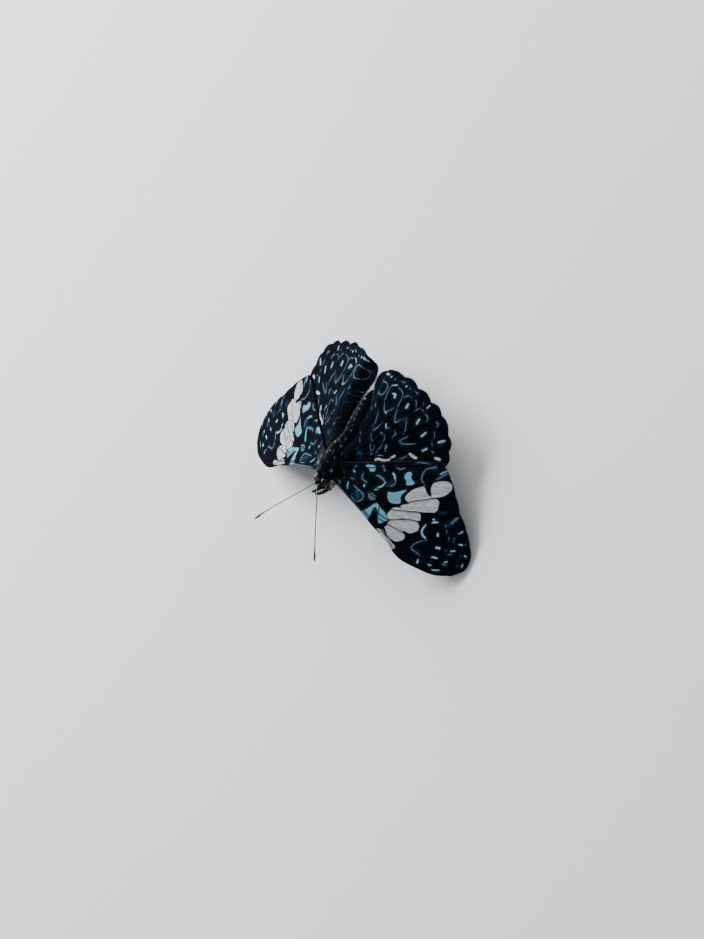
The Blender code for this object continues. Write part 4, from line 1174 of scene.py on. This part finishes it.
# %% Finish of the skin and the fur
black_fur, add, shader = new_material(
    "black_fur", Roughness=0.6, Specular_IOR_Level=0.1, Sheen_Weight=0.02, Sheen_Roughness=0.5,
    Sheen_Tint=tint("#8fa3b8"))
place_on = add("TexCoord", out="Object")
tone, below, pale = (add("Attribute", attribute_name=name, out="Fac") for name in ("tone", "below", "pale"))
fine = add("TexNoise", place_on, Scale=1 / (0.25 * MM), Detail=3.0)
colour = add("MixRGB", add("MapRange", fine, 0.4, 0.75), tint("#06080a"), tint("#0f141a"))
bloom = add("Math", add("MapRange", tone, 0.78, 1.0), 0.6, **TIMES)
colour = add("MixRGB", bloom, colour, tint("#1c2733"))
colour = add("MixRGB", add("Math", below, 0.6, **TIMES), colour, tint("#211a15"))
dots = add("Math", add("MapRange", pale, 0.15, 0.7), add("MapRange", fine, 0.2, 0.45), **TIMES)
colour = add("MixRGB", dots, colour, tint("#a9b6b8"))
fuzz = add("TexNoise", place_on, Scale=1 / (0.12 * MM))
bump = add("Bump", Strength=0.5, Distance=0.05 * MM, Height=fuzz)
finish(black_fur, shader, Base_Color=colour, Normal=bump)
for obj in [skin] + coats:
    obj.data.materials.append(black_fur)
print("finish", black_fur.name, "on", 1 + len(coats), "pieces")

# %% [markdown]
# The hairs and the fringe of the wings are tufts too. Each is rooted on its wing and
# lies along an arrow that follows the arch, so none stands off or sinks in.


# %% Tufts on a wing
def wing_tufts(name, kind, side, flat, ahead, lift, length, width, curl, pale):
    """Tufts rooted on a wing that lie along arrows given on the flat wing."""
    roots = on_wing(kind, side, flat)
    ways = on_wing(kind, side, flat + ahead * 0.4, lift) - roots
    up = np.tile((0.0, 0.0, 1.0), (len(flat), 1))
    maps = on_map(*((flat - flat.min(axis=0)) / np.ptp(flat, axis=0)).T)
    obj = tufts(name, roots, unit(ways), up, length * MM, width * MM, curl, maps)
    column(obj, "pale", np.repeat(pale, TUFT_POINTS))
    obj.data.materials.append(black_fur)
    return obj


print("finish of the wing tufts:", black_fur.name)

# %% [markdown]
# The wing's edge carries a fringe of hair-like scales, pale between the veins and dark
# at their ends. Long soft hairs cover the wing roots and the hindwing's inner part, and
# fill the gap beside the abdomen. The hairs fan out from a point near the root and
# thin out away from the body.

# %% Fringes and long hairs
FRINGE_WIDTH = 0.045
FRINGE_INSET = 0.12         # how far inside the edge a fringe is rooted
HAIR_WIDTH = 0.03
HAIRS_FROM = 2.6            # u where the hairs begin to thin out


def fringe(name, kind, side, edge, step, reach, lean, pale_most):
    """Tufts along an edge of the flat wing; reach is their length at either end, lean their slant."""
    line = EDGES[kind][edge]
    total = np.linalg.norm(np.diff(line, axis=0), axis=1).sum()
    spots = along(line, np.linspace(0.0, 1.0, int(total / step)))
    run = unit(np.gradient(spots, axis=0))
    outward = np.stack([-run[:, 1], run[:, 0]], axis=1)
    ahead = unit(outward - lean * run + luck.normal(0.0, 0.2, outward.shape))
    apart = vein_gap(spots, VEINS[kind])
    pale = pale_most * ease((apart - 0.7) / 0.5) * luck.uniform(0.3, 1.0, len(spots))
    long = np.linspace(*reach, len(spots)) * luck.uniform(0.7, 1.15, len(spots))
    roots = spots - outward * FRINGE_INSET
    return wing_tufts(name, kind, side, roots, ahead, 0.0, long, FRINGE_WIDTH, 0.0, pale)


def hairs(name, kind, side, count, low, high, fan, far, length):
    """Long hairs in a box of the wing, fanning out from a point and thinner far from the body."""
    flat = np.stack([luck.uniform(low[k], high[k], count) for k in (0, 1)], axis=1)
    thinning = 1.0 - ease((flat[:, 0] - HAIRS_FROM) / far + luck.uniform(-0.35, 0.35, len(flat)))
    thinning *= 1.0 - 0.85 * ease((-9.0 - flat[:, 1]) / 8.0)
    flat = flat[inside(flat, np.vstack(EDGES[kind])) & (luck.random(len(flat)) < thinning)]
    away = unit(flat - np.array(fan))
    ahead = unit(away + luck.normal(0.0, 0.12, away.shape))
    shorter = 1.0 - 0.4 * ease((flat[:, 0] - HAIRS_FROM) / far)
    long = length * luck.uniform(0.6, 1.2, len(flat)) * shorter
    pale = np.where(luck.random(len(flat)) < 0.2, 0.12, 0.0)
    return wing_tufts(name, kind, side, flat, ahead, 0.2, long, HAIR_WIDTH, 0.06, pale)


print("a fringe scale is", FRINGE_WIDTH, "mm wide, a hair", HAIR_WIDTH, "mm")

# %% [markdown]
# The fringes are short along the outer edges. Along the hindwing's inner edge they
# grow long and slant back, and there they hide the fold beside the abdomen.

# %% Grow them on the four wings
# Each fringe: name, wing, edge, step, length at its two ends, slant, how pale at most
FRINGES = [
    ("forewing_fringe_", "forewing", OUTER, 0.08, (0.36, 0.4), 0.0, 0.5),
    ("forewing_rear_fringe_", "forewing", INNER, 0.1, (0.4, 0.5), -0.5, 0.3),
    ("hindwing_fringe_", "hindwing", OUTER, 0.08, (0.42, 0.42), 0.0, 0.4),
    ("hindwing_rear_fringe_", "hindwing", INNER, 0.035, (0.6, 1.6), 1.1, 0.05),
]
# Each patch of hair: name, wing, hairs, two corners of its box, point it fans from, reach, length
ROOT_HAIR = [
    ("forewing_root_hair_", "forewing", 2600, (2.4, -4.0), (7.0, 3.2), (0.5, -1.0), 3.2, 1.3),
    ("hindwing_root_hair_", "hindwing", 8000, (2.4, -18.0), (6.5, -2.6), (1.5, 0.0), 2.0, 1.9),
]
wing_coats = []
for side, word in SIDES.items():
    wing_coats += [fringe(name + word, kind, side, *rest) for name, kind, *rest in FRINGES]
    wing_coats += [hairs(name + word, kind, side, int(count * hair_share), *rest)
                   for name, kind, count, *rest in ROOT_HAIR]
print([(obj.name, len(obj.data.polygons)) for obj in wing_coats])

# %% [markdown]
# A small furry lid, the tegula, covers each forewing's root, where the wing turns on the
# thorax. It is an oval dome with tufts lying back over it.

# %% Tegulae
TEGULA_CENTRE = (2.25, -0.1, -0.35)
TEGULA_SIZE = (0.62, 1.15, 0.42)
FUR_OVERLAP = 0.4           # how far round its sides, in radians, the fur of a lid reaches


def on_tegula(side, along_it, turn, grow=1.0):
    """Points of the dome, from 0 in front to 1 behind, at an angle round it."""
    tilt = np.pi * along_it
    u = TEGULA_CENTRE[0] + grow * TEGULA_SIZE[0] * np.sin(tilt) * np.cos(turn)
    v = TEGULA_CENTRE[1] + grow * TEGULA_SIZE[1] * np.cos(tilt)
    z = TEGULA_CENTRE[2] + grow * TEGULA_SIZE[2] * np.sin(tilt) * np.sin(turn)
    return place(side * u, v, z)


def tegula(side):
    """One lid with its fur."""
    lid = bent_grid("tegula_" + SIDES[side], 24, 32, lambda s, t: on_tegula(side, s, 2 * np.pi * t))
    close_seams(lid)
    bpy.ops.object.shade_smooth()
    lid.data.materials.append(black_fur)
    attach(lid, "root")
    count = int(900 * hair_share)
    along_it = luck.uniform(0.05, 0.85, count)
    turn = luck.uniform(-FUR_OVERLAP, np.pi + FUR_OVERLAP, count)
    roots = on_tegula(side, along_it, turn, 0.97)
    outward = unit(on_tegula(side, along_it, turn, 1.2) - roots)
    back = unit(on_tegula(side, along_it + 0.05, turn) - roots)
    ways = unit(back + outward * 0.35 + luck.normal(0.0, 0.2, (count, 3)))
    maps = on_map((turn + FUR_OVERLAP) / (np.pi + 2 * FUR_OVERLAP), along_it, 0.05)
    long = 0.7 * luck.uniform(0.7, 1.2, count) * MM
    fur = tufts("tegula_fur_" + SIDES[side], roots, ways, outward, long, 0.028 * MM, 0.1, maps)
    pale = 0.6 * (np.hypot(along_it - 0.3, (turn - 1.3) * 0.25) < 0.1)
    column(fur, "pale", np.repeat(pale, TUFT_POINTS))
    fur.data.materials.append(black_fur)
    return lid


print([(obj.name, len(obj.data.polygons)) for obj in map(tegula, SIDES)])

# %% [markdown]
# Each compound eye is an oval dome of thousands of lenses. They are about 0.03 mm
# across in life and are drawn a little coarser, as a dimpled Voronoi pattern under a
# thin clear gloss. Two browns in soft patches give the eye its depth.

# %% Finish of the eyes
EYE_LENS = 0.05
eye_chitin, add, shader = new_material(
    "eye_chitin", Roughness=0.3, Coat_Weight=0.06, Coat_Roughness=0.1, Specular_IOR_Level=0.12)
place_on = add("TexCoord", out="Object")
patches = add("TexNoise", place_on, Scale=1 / (0.7 * MM), Detail=1.0)
lenses = add("TexVoronoi", place_on, Scale=1 / (EYE_LENS * MM))
dimples = add("Bump", invert=True, Strength=0.6, Distance=0.02 * MM, Height=lenses)
finish(eye_chitin, shader, Base_Color=add("MixRGB", patches, tint("#060403"), tint("#1a0f0a")),
       Normal=dimples)
print("finish", eye_chitin.name, "with lenses of", EYE_LENS, "mm")

# %% [markdown]
# The dome is a grid rolled up round an axis that points sideways, and its inner half is
# sunk in the head. That is simpler than cutting it to the face, and no gap can show.

# %% Build the eyes
EYE_CENTRE = (1.3, 3.2, -0.5)
EYE_SIZE = (0.86, 1.0, 1.0)


def eye(side):
    """An oval eye on one side of the head."""

    def dome(s, t):
        tilt = np.pi * s
        turn = 2 * np.pi * t
        u = EYE_CENTRE[0] + EYE_SIZE[0] * np.cos(tilt)
        v = EYE_CENTRE[1] + EYE_SIZE[1] * np.sin(tilt) * np.cos(turn)
        z = EYE_CENTRE[2] + EYE_SIZE[2] * np.sin(tilt) * np.sin(turn)
        return place(side * u, v, z)

    obj = bent_grid("eye_dome_" + SIDES[side], 48, 72, dome)
    close_seams(obj)
    bpy.ops.object.shade_smooth()
    obj.data.materials.append(eye_chitin)
    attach(obj, "root")
    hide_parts("eye_" + SIDES[side])
    return obj


print([(obj.name, len(obj.data.polygons)) for obj in map(eye, SIDES)])

# %% [markdown]
# Legs, feelers, palps and tongue are all tubes of changing thickness along a curve. The
# rings are carried along the curve without twisting, and a list of joints makes each
# segment swell towards its far end, as an insect's do.


# %% Tubes along a curve
def carried_rings(line):
    """For each point of a line: its direction and two arrows across it, without twist."""
    run = unit(np.gradient(line[:, :3], axis=0))
    across = np.empty_like(run)
    start = np.cross(run[0], (0.0, 0.0, 1.0))
    across[0] = start / np.linalg.norm(start)
    for i in range(1, len(run)):
        kept = across[i - 1] - run[i] * (across[i - 1] @ run[i])
        across[i] = kept / np.linalg.norm(kept)
    return run, across, np.cross(run, across)


def joints(places, bulge, s):
    """Thickness at s along a limb, where each stretch between two places swells towards its end."""
    k = np.clip(np.searchsorted(places, s, side="right") - 1, 0, len(places) - 2)
    t = (s - np.array(places)[k]) / (np.array(places)[k + 1] - np.array(places)[k])
    return 1.0 - bulge + 2 * bulge * np.sin(np.pi * np.clip(t, 0, 1) ** 1.6) ** 0.7


def tube(name, stations, side, columns, rows, places, bulge):
    """A closed, jointed tube through stations of u, v, z and radius, kept above the floor."""
    line = along(smooth(stations, 0.1), np.linspace(0.0, 1.0, columns + 1))
    line[:, 0] *= side
    across, upward = carried_rings(line)[1:]
    radius = line[:, 3] * joints(places, bulge, np.linspace(0.0, 1.0, columns + 1))
    radius[[0, -1]] = 0.0
    obj, s, t = new_grid(name, columns, rows)
    i = np.round(s * columns).astype(int)
    turn = 2 * np.pi * t[:, None]
    spots = line[i, :3] + radius[i, None] * (across[i] * np.cos(turn) + upward[i] * np.sin(turn))
    spots[:, 2] = np.maximum(spots[:, 2], -STAND_HEIGHT)
    move_points(obj, place(*spots.T))
    obj.data.update()
    column(obj, "length", s)
    close_seams(obj, gap=1e-7)
    bpy.ops.object.shade_smooth()
    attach(obj, "root")
    return obj


print("tubes ready")

# %% [markdown]
# A feeler is a shaft of some forty short segments that ends in a slim club with a rusty
# tip. Fine pale scales ring each joint. It is much thinner than its solid, as the real
# one is.

# %% Feelers
ANTENNA = [(0.5, 3.9, -0.3, 0.2), (0.66, 4.3, 0.15, 0.22), (0.85, 4.75, 0.47, 0.14), (3.9, 8.3, 0.9, 0.115),
           (7.9, 12.9, 1.5, 0.115), (10.2, 15.6, 1.75, 0.15), (11.2, 16.9, 1.8, 0.26),
           (11.95, 17.8, 1.75, 0.12)]
ANTENNA_SEGMENTS = 42
feeler_chitin, add, shader = new_material("feeler_chitin", Roughness=0.5, Specular_IOR_Level=0.3)
length = add("Attribute", attribute_name="length", out="Fac")
part = add("Math", add("Math", length, float(ANTENNA_SEGMENTS), **TIMES), operation="FRACT")
ring = add("MapRange", part, 0.22, 0.08, To_Max=0.55)
ringed = add("MixRGB", ring, tint("#15120f"), tint("#8d8a80"))
rusty = add("MixRGB", add("MapRange", length, 0.955, 1.0), ringed, tint("#4a2c17"))
grain = add("TexNoise", add("TexCoord", out="Object"), Scale=1 / (0.08 * MM))
bump = add("Bump", Strength=0.3, Distance=0.01 * MM, Height=grain)
finish(feeler_chitin, shader, Base_Color=rusty, Normal=bump)
feeler_joints = list(np.linspace(0.0, 1.0, ANTENNA_SEGMENTS + 1))
for side, word in SIDES.items():
    obj = tube("feeler_" + word, ANTENNA, side, 420, 14, feeler_joints, 0.09)
    obj.data.materials.append(feeler_chitin)
    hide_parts("antenna_" + word)
print("feelers of", ANTENNA_SEGMENTS, "segments")

# %% [markdown]
# The palps stand up in front of the face like a furry beak. They get tufts of their own,
# which lie forwards along them.

# %% Palps
PALP = [(0.7, 3.2, -1.9, 0.2), (0.9, 3.9, -2.2, 0.27), (0.95, 4.6, -2.15, 0.3), (0.88, 5.4, -1.5, 0.27),
        (0.75, 6.0, -0.7, 0.2), (0.62, 6.35, -0.05, 0.06)]
FLIP = np.array((1.0, -1.0, 1.0))       # v runs against the scene's y


def fur_along(name, stations, side, count, length, width, pale_share):
    """Tufts lying forwards along a limb; some are pale."""
    line = smooth(stations, 0.05)
    line[:, 0] *= side
    run, across, upward = carried_rings(line)
    pick = luck.integers(1, len(line) - 1, count)
    turn = luck.uniform(0, 2 * np.pi, count)[:, None]
    spoke = across[pick] * np.cos(turn) + upward[pick] * np.sin(turn)
    spots = line[pick, :3] + spoke * line[pick, 3:] * 0.9
    outward = spoke * FLIP
    ways = unit(run[pick] * FLIP + outward * 0.45 + luck.normal(0, 0.12, (count, 3)))
    maps = on_map(turn[:, 0] / (2 * np.pi), pick / len(line), 0.1)
    long = length * luck.uniform(0.7, 1.2, count) * MM
    obj = tufts(name, place(*spots.T), ways, outward, long, width * MM, 0.1, maps)
    column(obj, "pale", np.repeat(np.where(luck.random(count) < pale_share, 0.8, 0.0), TUFT_POINTS))
    obj.data.materials.append(black_fur)


for side, word in SIDES.items():
    palp = tube("palp_core_" + word, PALP, side, 60, 16, [0.0, 0.3, 0.75, 1.0], 0.08)
    palp.data.materials.append(black_fur)
    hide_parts("palp_" + word)
    fur_along("palp_fur_" + word, PALP, side, 1100, 0.4, 0.024, 0.2)
print("a palp has", len(palp.data.polygons), "faces under its fur")

# %% [markdown]
# The tongue lies coiled between the palps. It is a smooth, springy tube of brown horn,
# ringed all along, with a little gloss.

# %% Tongue
COIL_CENTRE = (4.0, -3.15)
COIL_TURNS = 2.2
TONGUE_RINGS = 89
coil = []
for turned in np.linspace(0.0, COIL_TURNS, 40):
    reach = 1.1 - 0.36 * turned
    angle = math.radians(90) + 2 * math.pi * turned
    coil.append((0.0, COIL_CENTRE[0] + reach * math.cos(angle),
                 COIL_CENTRE[1] + reach * math.sin(angle), 0.15 - 0.02 * turned))
tongue = tube("tongue", coil, 1, 400, 14, list(np.linspace(0, 1, TONGUE_RINGS + 1)), 0.05)
tongue_chitin, add, shader = new_material("tongue_chitin", Roughness=0.35, Specular_IOR_Level=0.5)
mottle = add("TexNoise", add("TexCoord", out="Object"), Scale=1 / (0.4 * MM))
finish(tongue_chitin, shader, Base_Color=add("MixRGB", mottle, tint("#160d08"), tint("#352217")))
tongue.data.materials.append(tongue_chitin)
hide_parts("proboscis")
print("the tongue has", len(tongue.data.polygons), "faces")

# %% [markdown]
# A butterfly of this family walks on four legs, and keeps a small furry front pair
# folded under its chest. Each walking leg has a stout thigh, a slim spiny shin and a foot
# of five joints that ends in two claws. Each station gives u, v, z and the half width.

# %% Stations of the legs
FORELEG = [(0.9, 0.9, -2.6, 0.3), (1.5, 2.2, -4.2, 0.3), (1.9, 2.6, -5.0, 0.24), (1.8, 1.6, -5.6, 0.22),
           (1.6, 0.2, -5.8, 0.1)]
MIDLEG = [(1.0, -0.6, -3.7, 0.42), (2.0, -0.3, -4.6, 0.45), (4.6, 0.4, -4.7, 0.36), (6.7, 1.0, -4.2, 0.24),
          (7.3, 1.3, -5.1, 0.2), (8.3, 2.1, -9.3, 0.22), (8.7, 2.5, -11.7, 0.2), (9.2, 3.2, -12.3, 0.2),
          (10.2, 5.2, -12.33, 0.17), (11.0, 6.8, -12.35, 0.14)]
HINDLEG = [(1.0, -3.9, -3.7, 0.42), (2.0, -4.6, -4.6, 0.45), (4.6, -6.6, -5.2, 0.36), (6.4, -8.4, -5.0, 0.24),
           (6.9, -9.2, -5.9, 0.2), (7.7, -12.2, -9.6, 0.22), (8.1, -13.6, -11.7, 0.2),
           (8.3, -14.4, -12.3, 0.2), (8.8, -17.0, -12.33, 0.17), (9.1, -18.6, -12.35, 0.14)]
SHIN, ANKLE, TOE = 4, 7, 9              # stations of a walking leg
FOOT_JOINTS = (0.42, 0.6, 0.74, 0.87)   # as shares of the foot
print("a walking leg has", len(MIDLEG), "stations")

# %% [markdown]
# Under its scales a leg is dark brown chitin, hard as horn. The flat scales lie on it
# like tiles, which gives a dull, dusty brown with small pale flecks and only a soft
# highlight.

# %% Finish of the legs
leg_scales, add, shader = new_material("leg_scales", Roughness=0.55, Specular_IOR_Level=0.3)
place_on = add("TexCoord", out="Object")
flecks = add("TexVoronoi", place_on, Scale=1 / (0.13 * MM))
patchy = add("TexNoise", place_on, Scale=1 / (0.9 * MM))
browns = add("MixRGB", patchy, tint("#120e0c"), tint("#352c26"))
dusty = add("MixRGB", add("MapRange", flecks, 0.35, 0.15, To_Max=0.4), browns, tint("#6d6861"))
plates = add("Bump", Strength=0.4, Distance=0.02 * MM, Height=flecks)
finish(leg_scales, shader, Base_Color=dusty, Normal=plates)
print("finish", leg_scales.name)

# %% [markdown]
# At each joint a leg narrows and swells again. Bristles slant along the shin and the
# foot of a walking leg, and two stouter ones at its end are the claws.

# %% Build the legs


def station_share(stations, index):
    """How far along the limb one of its stations lies, 0 to 1."""
    rows = np.array(stations)[:, :3]
    steps = np.r_[0.0, np.cumsum(np.linalg.norm(np.diff(rows, axis=0), axis=1))]
    return steps[index] / steps[-1]


def leg(name, stations, side, walks):
    """A leg with its joints; one that walks also has a shin and a jointed foot."""
    knees = [0.0, station_share(stations, 1)]
    if walks:
        ankle = station_share(stations, ANKLE)
        knees += [station_share(stations, SHIN), ankle]
        knees += [ankle + (1.0 - ankle) * share for share in FOOT_JOINTS]
    obj = tube(name + "_scaled_" + SIDES[side], stations, side, 200, 14, knees + [1.0], 0.12)
    obj.data.materials.append(leg_scales)
    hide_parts(name + "_" + SIDES[side])


def spines(name, stations, side, first, last, count, length, width):
    """Short dark bristles between two stations of a leg, slanting towards its foot."""
    shares = np.linspace(station_share(stations, first), station_share(stations, last), count)
    line = along(smooth(stations, 0.05), shares)
    line[:, 0] *= side
    run, across, upward = carried_rings(line)
    turn = np.where(np.arange(count) % 2, 0.6, 2.4)[:, None] + luck.normal(0, 0.3, (count, 1))
    opposite = np.where(np.arange(count) % 4 < 2, 1, -1)[:, None]
    spoke = (across * np.cos(turn) + upward * np.sin(turn)) * opposite
    roots = place(*(line[:, :3] + spoke * line[:, 3:] * 0.7).T)
    ways = unit(run * FLIP + spoke * FLIP * 0.7)
    low = (roots + ways * length * MM)[:, 2] < 0.0
    ways[low, 2] = np.abs(ways[low, 2])
    maps = np.stack([np.linspace(0.1, 0.9, count), np.full(count, 0.5)], axis=1)
    obj = tufts(name, roots, ways, spoke * FLIP, length * MM, width * MM, 0.05, maps)
    obj.data.materials.append(feeler_chitin)
    column(obj, "length", np.full(TUFT_POINTS * count, 0.01))


for side, word in SIDES.items():
    leg("foreleg", FORELEG, side, walks=False)
    fur_along("foreleg_fur_" + word, FORELEG, side, 1000, 0.4, 0.024, 0.22)
    for name, stations in (("midleg", MIDLEG), ("hindleg", HINDLEG)):
        leg(name, stations, side, walks=True)
        fur_along(name + "_fur_" + word, stations[:ANKLE], side, 1200, 0.24, 0.022, 0.12)
        spines(name + "_spines_" + word, stations, side, SHIN, TOE, 60, 0.34, 0.03)
        spines(name + "_claws_" + word, stations[-2:], side, 0, 1, 2, 0.3, 0.05)
print("six legs done, four of them with spines and claws")
